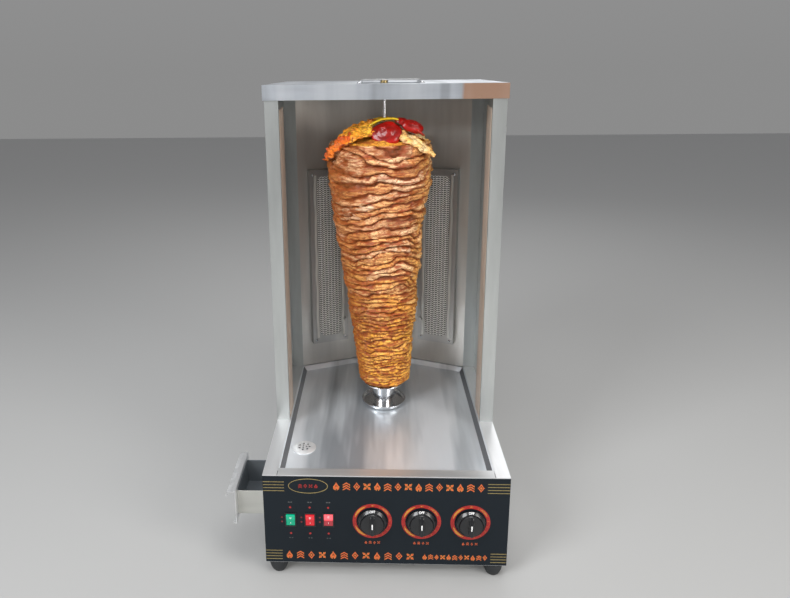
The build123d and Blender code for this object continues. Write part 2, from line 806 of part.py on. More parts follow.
with BuildPart() as gearmotor:
    gearbox_top = bracket_top - 2
    with BuildSketch(Plane.XY.offset(gearbox_top)):
        RectangleRounded(92, 72, 10)
    extrude(amount=-32)
    with BuildSketch(Plane.XY.offset(gearbox_top - 32)):
        Circle(34)
    extrude(amount=-78)
    bore(Plane((0, 0, gearbox_top)), shaft_radius + running, 26)
    for place in motor_screws:
        bore(place, screw_radius + loose, 12)
gearmotor.part.label = "gearmotor"
export_step(gearmotor.part, "parts/gearmotor.step")

dish_bottom = tray_floor + dish_gap
post_bottom = dish_bottom + sheet
with BuildPart() as hub_post:
    with BuildSketch(Plane.XY.offset(post_bottom)):
        Circle(post_radius)
    extrude(amount=post_top - post_bottom)
    chamfer(hub_post.edges().group_by(Axis.Z)[-1], length=1)
    with BuildSketch(Plane.XY.offset(post_bottom)):
        Circle(collar_radius + 5)
    extrude(amount=collar_height, mode=Mode.SUBTRACT)
    with BuildSketch(Plane.XY.offset(gearbox_top - 24)):
        Circle(shaft_radius)
    extrude(amount=post_bottom + collar_height + 4 - (gearbox_top - 24))
    tang_y = (-tang_width / 2, tang_width / 2)
    slab((-tang_length / 2, tang_length / 2), tang_y, (post_top - 2, post_top + tang_height))
hub_post.part.label = "hub_post"
export_step(hub_post.part, "parts/hub_post.step")

with BuildPart() as hub_dish:
    with BuildSketch(Plane.XZ):
        with BuildLine():
            dish_profile = [
                (collar_radius + 5, dish_bottom),
                (dish_radius - 4, dish_bottom),
                (dish_radius - 0.5, dish_bottom + 3),
                (dish_radius, dish_bottom + dish_height),
            ]
            Polyline(*sheet_outline(dish_profile, sheet), close=True)
        make_face()
    revolve(axis=Axis.Z)
hub_dish.part.label = "hub_dish"
export_step(hub_dish.part, "parts/hub_dish.step")

sleeve_inner = post_radius + running
sleeve_radius = post_radius + sleeve_wall
with BuildPart() as spit_socket:
    with BuildSketch(Plane.XY.offset(sleeve_bottom)):
        Circle(sleeve_radius)
    extrude(amount=spit_seat - sleeve_bottom)
    with BuildSketch(Plane.XY.offset(sleeve_bottom)):
        Circle(sleeve_inner)
    extrude(amount=post_top - sleeve_bottom, mode=Mode.SUBTRACT)
    with BuildSketch(Plane.XY.offset(post_top)):
        Rectangle(tang_length + 2 * loose, tang_width + 2 * loose)
    extrude(amount=tang_height + 1, mode=Mode.SUBTRACT)
    with BuildSketch(Plane.XY.offset(spit_seat)):
        Circle(12)
    extrude(amount=14)
    with BuildSketch(Plane.XY.offset(spit_seat + 1)):
        Circle(spit_radius + running)
    extrude(amount=14, mode=Mode.SUBTRACT)
spit_socket.part.label = "spit_socket"
export_step(spit_socket.part, "parts/spit_socket.step")

with BuildPart() as spit_disc:
    with BuildSketch(Plane.XY.offset(spit_seat)):
        Circle(spit_disc_radius)
        Circle(12 + loose, mode=Mode.SUBTRACT)
    extrude(amount=spit_disc_thickness)
    fillet(spit_disc.edges().group_by(SortBy.LENGTH)[-1], radius=1)
spit_disc.part.label = "spit_disc"
export_step(spit_disc.part, "parts/spit_disc.step")

with BuildPart() as spit_rod:
    with BuildSketch(Plane.XY.offset(spit_seat + 1)):
        Circle(spit_radius)
    extrude(amount=spit_top - spit_seat - 1)
    chamfer(spit_rod.edges().group_by(Axis.Z)[-1], length=1.5)
spit_rod.part.label = "spit_rod"
export_step(spit_rod.part, "parts/spit_rod.step")

meat_bottom = spit_seat + spit_disc_thickness
meat_top = column_top - meat_headroom


def meat_point(radius, share):
    """A point of the meat's outline at a share of its height."""
    return (radius, meat_bottom + share * (meat_top - meat_bottom))


with BuildPart() as meat_cone:
    with BuildSketch(Plane.XZ):
        with BuildLine():
            flank = [meat_point(radius, share) for radius, share in meat_profile]
            shoulder = meat_point(*meat_shoulder)
            crown = [meat_point(radius, share) for radius, share in meat_crown]
            Line((0, meat_bottom), (50, meat_bottom))
            Spline((50, meat_bottom), *flank, shoulder)
            Spline(shoulder, *crown, (30, meat_top))
            Line((30, meat_top), (0, meat_top))
            Line((0, meat_top), (0, meat_bottom))
        make_face()
    revolve(axis=Axis.Z)
    bore(Plane((0, 0, meat_bottom)), spit_radius + 0.3, 700)
    bore(Plane((0, 0, meat_bottom)), 12.4, 15)
meat_cone.part.label = "meat_cone"
export_step(meat_cone.part, "parts/meat_cone.step")

# ------------------------------------------------------------------ fat drawer
drawer_back = -half_width - drawer_open
drawer_inner_end = drawer_back + drawer_length
with BuildPart() as drawer_box:
    outer_z = (drawer_bottom, drawer_bottom + drawer_height)
    slab((drawer_back, drawer_inner_end), (drawer_front_edge, drawer_rear_edge), outer_z)
    inner_x = (drawer_back + drawer_sheet, drawer_inner_end - drawer_sheet)
    inner_y = (drawer_front_edge + drawer_sheet, drawer_rear_edge - drawer_sheet)
    inner_z = (drawer_bottom + drawer_sheet, drawer_bottom + drawer_height + 2)
    slab(inner_x, inner_y, inner_z, mode=Mode.SUBTRACT)
drawer_box.part.label = "drawer_box"
export_step(drawer_box.part, "parts/drawer_box.step")

with BuildPart() as drawer_front:
    plate_profile = [
        (drawer_back - 7, plate_bottom + 3),
        (drawer_back, plate_bottom),
        (drawer_back, plate_top),
        (drawer_back - lip_reach, plate_top - 5),
        (drawer_back - lip_reach - 1, plate_top - 10),
    ]
    with BuildSketch(facing_front(drawer_rear_edge + plate_margin)):
        with BuildLine():
            Polyline(*sheet_outline(plate_profile, sheet), close=True)
        make_face()
    extrude(amount=drawer_depth + 2 * plate_margin)
drawer_front.part.label = "drawer_front"
export_step(drawer_front.part, "parts/drawer_front.step")

guide_end = drawer_inner_end + drawer_open + 4
with BuildPart() as drawer_guides:
    outer_y = (drawer_front_edge - gap - sheet, drawer_rear_edge + gap + sheet)
    guide_x = (-skin_inner, guide_end + sheet)
    guide_z = (drawer_bottom - gap - sheet, drawer_bottom + drawer_height + 1)
    slab(guide_x, outer_y, guide_z)
    inner_y = (drawer_front_edge - gap, drawer_rear_edge + gap)
    slab((-skin_inner - 1, guide_end), inner_y, (drawer_bottom - gap, guide_z[1] + 1), mode=Mode.SUBTRACT)
    floor_y = (drawer_front_edge + 8, drawer_rear_edge - 8)
    slab((-skin_inner - 1, guide_end - 8), floor_y, (guide_z[0] - 1, guide_z[1] + 1), mode=Mode.SUBTRACT)
drawer_guides.part.label = "drawer_guides"
export_step(drawer_guides.part, "parts/drawer_guides.step")

# ------------------------------------------------------------------ switches
rocker_pivot_y = base_front + 7
with BuildPart() as switch_housings:
    for x in rocker_positions.values():
        with BuildSketch(facing_front(base_front)):
            with Locations((x, rocker_height)):
                Rectangle(housing_width + 2 * bezel_margin, housing_height + 2 * bezel_margin + 0.4)
        extrude(amount=bezel_thickness)
        with BuildSketch(facing_front(base_front)):
            with Locations((x, rocker_height)):
                Rectangle(housing_width, housing_height)
        extrude(amount=-housing_depth)
        with BuildSketch(facing_front(base_front - bezel_thickness)):
            with Locations((x, rocker_height)):
                Rectangle(housing_width - 1.8, housing_height - 1.4)
        extrude(amount=-18, mode=Mode.SUBTRACT)
        with BuildSketch(facing_front(base_front + housing_depth)):
            with Locations((x, rocker_height)):
                with GridLocations(8, 9, 2, 3):
                    Rectangle(1, 5)
        extrude(amount=-5)
switch_housings.part.label = "switch_housings"
export_step(switch_housings.part, "parts/switch_housings.step")

for name, x in rocker_positions.items():
    with BuildPart() as rocker:
        with BuildSketch(Plane.YZ.offset(x - 8.8)):
            with BuildLine():
                back = [(-3, 12.1), (2, 6), (4, 0), (2, -6), (-3, -12.1)]
                Polyline((-9.2, -12.1), (-7.6, 0), (-9.2, 12.1), *back, close=True)
            make_face()
        extrude(amount=17.6)
    pivot = Location((0, rocker_pivot_y, rocker_height))
    tilted = pivot * Rot(rocker_rest_tilt[name], 0, 0) * rocker.part
    tilted.label = f"{name}_rocker"
    export_step(tilted, f"parts/{name}_rocker.step")

# ------------------------------------------------------------------ knobs
skirt_rear = base_front - knob_gap
skirt_front = skirt_rear - skirt_thickness
cap_front = skirt_front - cap_thickness
grip_front = cap_front - grip_height
spindle_tail = valve_front + 19
for name, x in valve_positions.items():
    with BuildPart() as knob:
        with BuildSketch(facing_front(skirt_rear)):
            with Locations((x, control_height)):
                Circle(skirt_radius)
        extrude(amount=skirt_thickness, taper=8)
        with BuildSketch(facing_front(skirt_front)):
            with Locations((x, control_height)):
                Circle(cap_radius)
        extrude(amount=cap_thickness, taper=6)
        with BuildSketch(facing_front(cap_front)):
            with Locations((x, control_height)):
                SlotOverall(2 * cap_radius - 6, grip_width, rotation=90)
        extrude(amount=grip_height, taper=7)
        with BuildSketch(facing_front(skirt_rear)):
            with Locations((x, control_height)):
                Circle(spindle_radius + loose / 2)
        extrude(amount=skirt_rear - cap_front - 1, mode=Mode.SUBTRACT)
    knob.part.label = f"{name}_knob"
    export_step(knob.part, f"parts/{name}_knob.step")

    with BuildPart() as spindle:
        with BuildSketch(facing_front(spindle_tail)):
            with Locations((x, control_height)):
                Circle(spindle_radius)
        extrude(amount=spindle_tail - cap_front - 2)
    spindle.part.label = f"{name}_valve_spindle"
    export_step(spindle.part, f"parts/{name}_valve_spindle.step")

    with BuildPart() as plunger:
        with BuildSketch(facing_front(spindle_tail + 4)):
            with Locations((x, control_height)):
                Circle(8 - 0.3)
        extrude(amount=3.5)
    plunger.part.label = f"{name}_valve_plunger"
    export_step(plunger.part, f"parts/{name}_valve_plunger.step")

# ------------------------------------------------------------------ cord gland
with BuildPart() as cord_gland:
    for start, length, radius in (
        (base_rear - sheet, 6, 12),
        (base_rear + 4, 4 + sheet, gland_radius),
        (base_rear + 12, 8, 12),
        (base_rear + 20, 8, 9.5),
    ):
        with BuildSketch(facing_front(start)):
            with Locations((gland_x, gland_height)):
                Circle(radius)
        extrude(amount=length)
    bore(facing_front(base_rear + 20) * Location((gland_x, gland_height, 0)), gland_bore, 40)
cord_gland.part.label = "cord_gland"
export_step(cord_gland.part, "parts/cord_gland.step")
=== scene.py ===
# %% [markdown]
# # A counter-top broiler with a turning upright spit
#
# The machine is a steel cabinet with an open front. Gas burners in its back niche roast a cone of stacked
# meat that turns on an upright rod. The metal structure comes finished from the CAD model, so this lesson
# dresses it: finishes, rounded sheet edges, screws, burner mesh, printed panel, knobs, and the meat itself.
#
# We start by loading the fixed frame. Every length here is in metres, in the same place as the CAD.

# %% load the frame
import json
import math
import bpy
import bmesh
import numpy as np
from mathutils import Matrix, Vector


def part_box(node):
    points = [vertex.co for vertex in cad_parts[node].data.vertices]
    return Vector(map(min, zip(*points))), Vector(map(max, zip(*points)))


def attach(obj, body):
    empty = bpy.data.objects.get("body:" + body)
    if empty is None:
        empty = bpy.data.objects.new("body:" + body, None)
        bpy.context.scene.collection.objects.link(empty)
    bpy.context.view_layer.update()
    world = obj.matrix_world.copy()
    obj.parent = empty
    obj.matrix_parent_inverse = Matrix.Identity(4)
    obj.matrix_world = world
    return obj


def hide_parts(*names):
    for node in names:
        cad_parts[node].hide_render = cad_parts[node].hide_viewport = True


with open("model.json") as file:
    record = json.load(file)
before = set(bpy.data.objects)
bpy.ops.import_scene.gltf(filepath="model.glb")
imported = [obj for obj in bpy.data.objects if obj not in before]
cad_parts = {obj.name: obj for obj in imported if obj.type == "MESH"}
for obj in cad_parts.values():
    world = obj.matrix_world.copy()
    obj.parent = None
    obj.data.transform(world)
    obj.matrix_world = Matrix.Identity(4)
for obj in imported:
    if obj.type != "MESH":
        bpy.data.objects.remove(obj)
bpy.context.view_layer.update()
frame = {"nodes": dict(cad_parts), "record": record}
nodes = frame["nodes"]
body_of_node = {}
for body, members in frame["record"]["behaviour"]["bodies"].items():
    for member in members:
        body_of_node[member] = body

# %% [markdown]
# ## Camera, floor and light
#
# The camera stands in front of the machine, a little left of its middle and just above its roof, and looks
# down by about 14 degrees. A small lens shift keeps the machine low in the picture without tipping its
# upright lines.

# %% camera
camera_place = Vector((-0.0186, -1.4268, 0.9923))
pitch = math.radians(14.26)
yaw = math.radians(-2.34)
roll = math.radians(-0.66)
ahead = Vector((math.sin(yaw) * math.cos(pitch), math.cos(yaw) * math.cos(pitch), -math.sin(pitch)))
level_right = Vector((math.cos(yaw), -math.sin(yaw), 0))
level_up = level_right.cross(ahead)
right = level_right * math.cos(roll) + level_up * math.sin(roll)
up = level_up * math.cos(roll) - level_right * math.sin(roll)
turn = Matrix((right, up, -ahead)).transposed()
lens = bpy.data.cameras.new("camera")
lens.lens = 29.72
lens.sensor_width = 36
lens.shift_x = 0.0572
lens.shift_y = -0.0815
camera = bpy.data.objects.new("camera", lens)
camera.matrix_world = Matrix.Translation(camera_place) @ turn.to_4x4()
bpy.context.collection.objects.link(camera)
bpy.context.scene.camera = camera
print("camera looks along", tuple(round(part, 3) for part in ahead))

# %% [markdown]
# Steel shows what is around it more than its own colour. A soft grey world with a brighter band overhead,
# one large window-like light on the left and a weaker one on the right give the sheets their slow
# gradients.

# %% floor and lights
bpy.ops.object.select_all(action="DESELECT")
bpy.ops.mesh.primitive_plane_add(size=14, location=(0, 1.5, 0))
floor = bpy.context.object
floor.name = "floor"
floor_paint = bpy.data.materials.new("floor_paint")
floor_paint.use_nodes = True
floor_inputs = floor_paint.node_tree.nodes["Principled BSDF"].inputs
floor_inputs["Base Color"].default_value = (0.40, 0.40, 0.395, 1)
floor_inputs["Roughness"].default_value = 0.6
floor.data.materials.append(floor_paint)


def soft_light(name, place, target, size, power, color, mirrored=True):
    """A large area light that faces its target, and shows in the steel if it is mirrored."""
    lamp = bpy.data.lights.new(name, "AREA")
    lamp.shape = "RECTANGLE"
    lamp.size = size[0]
    lamp.size_y = size[1]
    lamp.energy = power
    lamp.color = color
    holder = bpy.data.objects.new(name, lamp)
    holder.location = place
    holder.rotation_euler = (Vector(target) - Vector(place)).to_track_quat("-Z", "Y").to_euler()
    holder.visible_glossy = mirrored
    bpy.context.collection.objects.link(holder)


soft_light("window_light", (-1.9, -2.1, 2.3), (0, 0, 0.5), (1.2, 1.8), 86, (0.97, 0.985, 1.0))
soft_light("fill_light", (2.2, -1.8, 1.5), (0, 0, 0.5), (1.0, 1.6), 46, (1.0, 0.97, 0.93))
soft_light("front_light", (0.1, -2.9, 1.15), (0, 0, 0.6), (1.3, 1.0), 20, (1.0, 0.99, 0.97), mirrored=False)
soft_light("top_light", (0.2, -0.6, 2.9), (0, 0, 0.4), (1.6, 1.2), 24, (1, 1, 1))
soft_light("rear_light", (0.6, 2.6, 2.2), (0, 0, 0.6), (1.5, 1.5), 10, (1, 1, 1))
world = bpy.data.worlds.new("studio")
world.use_nodes = True
bpy.context.scene.world = world
room = world.node_tree
sky_ramp = room.nodes.new("ShaderNodeValToRGB")
sky_ramp.color_ramp.elements[0].color = (0.26, 0.26, 0.26, 1)
sky_ramp.color_ramp.elements[1].color = (0.50, 0.51, 0.53, 1)
for place, shade in ((0.47, 0.32), (0.52, 0.20), (0.62, 0.17), (0.74, 0.50)):
    stop = sky_ramp.color_ramp.elements.new(place)
    stop.color = (shade, shade, shade * 1.02, 1)
sky_place = room.nodes.new("ShaderNodeTexCoord")
sky_parts = room.nodes.new("ShaderNodeSeparateXYZ")
room.links.new(sky_place.outputs["Generated"], sky_parts.inputs[0])
room.links.new(sky_parts.outputs["Z"], sky_ramp.inputs["Fac"])
room.links.new(sky_ramp.outputs["Color"], room.nodes["Background"].inputs["Color"])
bpy.context.scene.view_settings.view_transform = "Standard"
print("lights:", len(bpy.data.lights))

# %% [markdown]
# ## Writing finishes as sums
#
# A finish is a small network of nodes. Wiring it by hand in code is hard to read, so one class wraps a
# socket and lets us write sums on it, and another makes nodes for one material.

# %% the finish helpers


class Value:
    """A socket whose sums add Math nodes."""

    def __init__(self, finish, socket):
        self.finish = finish
        self.socket = socket

    def sum(self, operation, first, second):
        inputs = {0: first, 1: second}
        return self.finish.node("ShaderNodeMath", {"operation": operation}, inputs)

    def __add__(self, other):
        return self.sum("ADD", self, other)

    def __mul__(self, other):
        return self.sum("MULTIPLY", self, other)

    def __sub__(self, other):
        return self.sum("SUBTRACT", self, other)


class Finish:
    """One material: a shader and the nodes that feed it."""

    def __init__(self, name, **constants):
        self.material = bpy.data.materials.new(name)
        self.material.use_nodes = True
        self.tree = self.material.node_tree
        self.shader = self.tree.nodes["Principled BSDF"]
        for socket, value in constants.items():
            self.shader.inputs[socket.replace("_", " ")].default_value = value

    def node(self, kind, settings=None, inputs=None, output=0):
        """Adds a node, sets it up, joins or fills its inputs, and gives back one output."""
        made = self.tree.nodes.new(kind)
        for key, value in (settings or {}).items():
            if key == "stops":
                fill_ramp(made.color_ramp, value)
            else:
                setattr(made, key, value)
        for key, value in (inputs or {}).items():
            if isinstance(value, Value):
                self.tree.links.new(value.socket, made.inputs[key])
            else:
                made.inputs[key].default_value = value
        return Value(self, made.outputs[output])

    def place(self, stretch=(1, 1, 1)):
        """Object coordinates, stretched."""
        here = self.node("ShaderNodeTexCoord", output="Object")
        return self.node("ShaderNodeMapping", inputs={"Vector": here, "Scale": stretch})

    def place_along(self, axis):
        """Object coordinates along one axis: 0, 1 or 2."""
        return self.node("ShaderNodeSeparateXYZ", inputs={"Vector": self.place()}, output=axis)

    def facing(self, axis):
        """How far a face looks along one axis, from -1 to 1."""
        normal = self.node("ShaderNodeNewGeometry", output="Normal")
        return self.node("ShaderNodeSeparateXYZ", inputs={"Vector": normal}, output=axis)

    def noise(self, scale, stretch=(1, 1, 1), detail=4, rough=0.55):
        """Noise from 0 to 1, with the scale in bumps per metre."""
        inputs = {"Vector": self.place(stretch), "Scale": scale, "Detail": detail, "Roughness": rough}
        return self.node("ShaderNodeTexNoise", inputs=inputs)

    def ramp(self, factor, stops):
        """A colour or grey that follows the stops."""
        return self.node("ShaderNodeValToRGB", {"stops": stops}, {"Fac": factor})

    def mix(self, factor, first, second):
        """Goes from the first colour to the second."""
        inputs = {0: factor, 6: first, 7: second}
        return self.node("ShaderNodeMix", {"data_type": "RGBA"}, inputs, output=2)

    def color(self, value):
        self.tree.links.new(value.socket, self.shader.inputs["Base Color"])

    def feed(self, name, value):
        self.tree.links.new(value.socket, self.shader.inputs[name])

    def relief(self, height, distance, strength=1.0):
        """Bumps whose height is in metres times the distance."""
        inputs = {"Strength": strength, "Distance": distance, "Height": height}
        self.feed("Normal", self.node("ShaderNodeBump", inputs=inputs))


def fill_ramp(ramp, stops):
    """Gives a colour ramp its stops, each a place and a colour or grey."""
    while len(ramp.elements) < len(stops):
        ramp.elements.new(1.0)
    for element, (place, shade) in zip(ramp.elements, stops):
        element.position = place
        if isinstance(shade, (int, float)):
            shade = (shade, shade, shade)
        element.color = (*shade[:3], 1)


print("finish helpers are ready")

# %% [markdown]
# ## Stainless sheet
#
# Catering machines are folded from brushed stainless sheet. The grain runs one way, cooking leaves faint
# wipe marks and heat tints the steel near the burners. All three are noise on Object coordinates, stretched
# along the grain, so they stay fixed to the metal.

# %% stainless finishes


def steel(name, grain, tone=(0.60, 0.61, 0.62), rough=0.30, wipe=0.10, tint=0.0, satin=0.0, warm_reflection_from=None,
          bands=0.0, painted_shade_sides=False, painted_shade_behind=None):
    """Brushed stainless with its grain along X, Y or Z.

    Heat tints it in patches. Its front faces beyond a place in X get a painted warm reflection. Bands are
    painted
    reflections: broad soft light and dark streaks that run along Y and Z. painted_shade_sides paints shade on
    the walls that face left or right. painted_shade_behind is the place in Y past which painted blue-grey
    shade darkens the steel.
    """
    along = {"x": (1, 60, 60), "y": (60, 1, 60), "z": (60, 60, 1)}[grain]
    cloud_stretch = {"x": (0.12, 1, 1), "y": (1, 0.12, 1), "z": (1, 1, 0.12)}[grain]
    finish = Finish(name, Metallic=1.0 - satin, Roughness=rough)
    lines = finish.noise(14, along, detail=3, rough=0.7)
    cloud = finish.ramp(finish.noise(9, cloud_stretch, detail=5, rough=0.6), [(0.32, 0.0), (0.68, 1.0)])
    marks = finish.noise(55, detail=6, rough=0.7)
    dark = tuple(0.72 * part for part in tone)
    light = tuple(min(1, 1.15 * part) for part in tone)
    shade = finish.mix(cloud, (*dark, 1), (*light, 1))
    if tint:
        warm = finish.ramp(finish.noise(2.6, detail=3), [(0.42, 0.0), (0.70, tint)])
        shade = finish.mix(warm, shade, (0.50, 0.40, 0.31, 1))
    # Painted reflections: bands lay light streaks of sky and dark streaks of the room along Y and Z.
    if bands:
        reflection_streak = finish.noise(13, (1, 0.10, 0.10), detail=3, rough=0.5)
        shade = finish.mix(finish.ramp(reflection_streak, [(0.50, 0.0), (0.60, bands)]), shade, (0.93, 0.96, 1.0, 1))
        shade = finish.mix(finish.ramp(reflection_streak, [(0.38, bands), (0.46, 0.0)]), shade, (0.26, 0.28, 0.31, 1))
    # Painted warm reflection on the front faces beyond a place in X.
    if warm_reflection_from is not None:
        in_front = finish.ramp(finish.facing(1) * -1, [(0.55, 0.0), (0.80, 1.0)])
        past = (finish.place_along(0) - warm_reflection_from) * 40
        warm_reflection = finish.ramp(past + cloud * 0.25, [(0.25, 0.0), (0.50, 0.85)])
        shade = finish.mix(warm_reflection * in_front, shade, (0.60, 0.33, 0.20, 1))
    # Painted shade on the walls that face left or right.
    if painted_shade_sides:
        wall = finish.node("ShaderNodeMath", {"operation": "ABSOLUTE"}, {0: finish.facing(0)})
        shade = finish.mix(finish.ramp(wall, [(0.55, 0.0), (0.75, 0.85)]), shade, (0.10, 0.11, 0.125, 1))
    # Painted blue-grey shade on the steel past a place in Y.
    if painted_shade_behind is not None:
        past = (finish.place_along(1) - painted_shade_behind) * 300
        inside_shade = finish.ramp(past + cloud * 0.4, [(0.30, 0.0), (0.60, 0.82)])
        shade = finish.mix(inside_shade, shade, (0.13, 0.155, 0.185, 1))
    finish.color(shade)
    finish.feed("Roughness", lines * 0.10 + marks * wipe + (rough - 0.09))
    finish.relief(lines, 0.00006, 0.5)
    return finish.material


case_steel = steel("case_steel", "z", tone=(0.60, 0.62, 0.61), rough=0.34, satin=0.12)
lip_steel = steel("lip_steel", "x", tone=(0.84, 0.85, 0.86), rough=0.34, satin=0.22)
# The roof's light and dark streaks and its warm tint on the front right are painted reflections.
roof_steel = steel("roof_steel", "x", tone=(0.74, 0.78, 0.84), rough=0.30, satin=0.15, bands=0.4,
                   warm_reflection_from=0.146)
niche_steel = steel("niche_steel", "z", tone=(0.62, 0.61, 0.58), rough=0.38, tint=0.40, satin=0.30)
# The returns' warm brown tone is a painted reflection.
return_steel = steel("return_steel", "z", tone=(0.66, 0.55, 0.46), rough=0.40, satin=0.40)
# The tray's streaks are painted reflections and its side walls carry painted shade.
tray_steel = steel("tray_steel", "y", tone=(0.62, 0.66, 0.70), rough=0.34, wipe=0.12, satin=0.40, bands=0.7,
                   painted_shade_sides=True)
burner_steel = steel("burner_steel", "z", tone=(0.50, 0.50, 0.49), rough=0.42, tint=0.3, satin=0.20)
drawer_steel = steel("drawer_steel", "y", tone=(0.86, 0.87, 0.88), rough=0.32, wipe=0.16, satin=0.20)
# Painted shade: the inside of the drawer box, behind its front wall, is darkened blue-grey.
box_steel = steel("box_steel", "x", tone=(0.60, 0.60, 0.56), rough=0.42, satin=0.35,
                  painted_shade_behind=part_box("drawer_box")[0][1] + 0.0016)
strainer_steel = steel("strainer_steel", "x", tone=(0.84, 0.85, 0.86), rough=0.38, satin=0.4)
rail_steel = steel("rail_steel", "z", tone=(0.78, 0.77, 0.72), rough=0.44, satin=0.40)
side_steel = steel("side_steel", "y", tone=(0.82, 0.83, 0.84), rough=0.34, satin=0.22)
print("stainless finishes: 12")

# %% [markdown]
# ## The other finishes
#
# Bright turned parts, rubber, glossy plastic, brass, cast ceramic and the painted motor. Each one gets a
# little uneven colour, because nothing real is the same all over.

# %% other finishes


def plain_finish(name, dark, light, rough, metal=0.0, scale=60, bump=0.00005, coat=0.0):
    """A finish that wanders between two close shades, with a fine surface."""
    finish = Finish(name, Metallic=metal, Coat_Weight=coat, Coat_Roughness=0.12)
    patch = finish.noise(scale, detail=5)
    fine = finish.noise(scale * 14, detail=3)
    finish.color(finish.mix(patch, (*dark, 1), (*light, 1)))
    finish.feed("Roughness", patch * 0.14 + fine * 0.08 + (rough - 0.11))
    finish.relief(fine, bump, 0.6)
    return finish.material


bright_steel = plain_finish("bright_steel", (0.60, 0.61, 0.63), (0.78, 0.79, 0.80), 0.22, metal=1.0)
mesh_wire = plain_finish("mesh_wire", (0.80, 0.80, 0.76), (0.96, 0.95, 0.91), 0.50, metal=0.15, scale=30)
foot_rubber = plain_finish("foot_rubber", (0.010, 0.012, 0.014), (0.024, 0.026, 0.028), 0.62, bump=0.00012)
knob_plastic = plain_finish("knob_plastic", (0.0035, 0.004, 0.005), (0.008, 0.009, 0.011), 0.30, coat=0.35)
brass_finish = plain_finish("brass_finish", (0.60, 0.42, 0.18), (0.78, 0.60, 0.30), 0.28, metal=1.0)
pipe_metal = plain_finish("pipe_metal", (0.60, 0.60, 0.60), (0.76, 0.76, 0.76), 0.35, metal=1.0)
motor_paint = plain_finish("motor_paint", (0.05, 0.055, 0.065), (0.08, 0.085, 0.095), 0.45)
plaque_clay = plain_finish("plaque_clay", (0.035, 0.033, 0.030), (0.08, 0.075, 0.07), 0.85, bump=0.0003)
white_mark = plain_finish("white_mark", (0.80, 0.80, 0.80), (0.92, 0.92, 0.92), 0.45)
print("materials so far:", len(bpy.data.materials))

# %% [markdown]
# ## Modelling helpers
#
# Every tool in Blender works on what is selected, so each step first clears the selection and picks one
# piece. Others turn a list of points and faces into a piece, build the faces between rows of points, and
# round edges.

# %% selection and piece helpers


def alone(piece):
    """Selects only this piece and makes it the active one."""
    bpy.ops.object.select_all(action="DESELECT")
    piece.select_set(True)
    bpy.context.view_layer.objects.active = piece


def new_piece(name, points, faces, finish):
    """A mesh piece at the origin from points in metres."""
    mesh = bpy.data.meshes.new(name)
    mesh.from_pydata([tuple(point) for point in points], [], faces)
    mesh.update()
    piece = bpy.data.objects.new(name, mesh)
    bpy.context.collection.objects.link(piece)
    mesh.materials.append(finish)
    return piece


def apply_modifier(piece, kind, **settings):
    """Adds a modifier, sets it up and applies it."""
    alone(piece)
    made = piece.modifiers.new("step", kind)
    for key, value in settings.items():
        setattr(made, key, value)
    bpy.ops.object.modifier_apply(modifier=made.name)


def outward(piece):
    """Merges doubled points and turns every face outward."""
    alone(piece)
    bpy.ops.object.mode_set(mode="EDIT")
    bpy.ops.mesh.select_all(action="SELECT")
    bpy.ops.mesh.remove_doubles(threshold=0.000005)
    bpy.ops.mesh.normals_make_consistent(inside=False)
    bpy.ops.object.mode_set(mode="OBJECT")


def smooth_edges(piece, degrees=35):
    """Smooth shading that keeps edges sharper than the angle."""
    alone(piece)
    bpy.ops.object.shade_smooth_by_angle(angle=math.radians(degrees))


def joined(name, parts):
    """Joins several pieces into the first and names it."""
    bpy.ops.object.select_all(action="DESELECT")
    for part in parts:
        part.select_set(True)
    bpy.context.view_layer.objects.active = parts[0]
    bpy.ops.object.join()
    parts[0].name = name
    return parts[0]


def bevel(piece, width=0.0004, segments=2):
    """Rounds the edges that turn by more than 40 degrees."""
    limit = math.radians(40)
    apply_modifier(piece, "BEVEL", width=width, segments=segments, limit_method="ANGLE", angle_limit=limit)


def tube_faces(rows, around, first=0, lids=True):
    """Quads between rows of points that each go once round, with a lid at both ends if asked."""
    faces = []
    for row in range(rows - 1):
        low = first + row * around
        for step in range(around):
            after = (step + 1) % around
            faces.append([low + step, low + after, low + around + after, low + around + step])
    if lids:
        last = first + (rows - 1) * around
        faces.append([first + step for step in reversed(range(around))])
        faces.append([last + step for step in range(around)])
    return faces


def sheet_faces(rows, across):
    """Quads over an open grid of points that is given row by row."""
    faces = []
    for row in range(rows - 1):
        for step in range(across - 1):
            a = row * across + step
            faces.append([a, a + 1, a + across + 1, a + across])
    return faces


print("modelling helpers are ready")

# %% [markdown]
# ## Rounded sheet edges
#
# Folded and sheared steel never has a knife edge: each rim is eased by a few tenths of a millimetre, and
# that rounding is what draws the bright line along every sheet. We copy the CAD mesh, weld its loose
# triangles, clear the lines inside flat faces, and bevel what is left.

# %% finish the CAD sheets


def finished_copy(node, finish, edge=0.0004, segments=2):
    """A welded copy of a CAD node with its edges rounded, which stands for it."""
    piece = bpy.data.objects.new(node + "_finished", nodes[node].data.copy())
    bpy.context.collection.objects.link(piece)
    alone(piece)
    bpy.ops.object.mode_set(mode="EDIT")
    bpy.ops.mesh.select_all(action="SELECT")
    bpy.ops.mesh.remove_doubles(threshold=0.00002)
    bpy.ops.mesh.dissolve_limited(angle_limit=math.radians(1.5))
    bpy.ops.mesh.normals_make_consistent(inside=False)
    bpy.ops.object.mode_set(mode="OBJECT")
    bevel(piece, edge, segments)
    smooth_edges(piece)
    apply_modifier(piece, "WEIGHTED_NORMAL", mode="FACE_AREA", weight=100, keep_sharp=True)
    piece.data.materials.clear()
    piece.data.materials.append(finish)
    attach(piece, body_of_node[node])
    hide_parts(node)


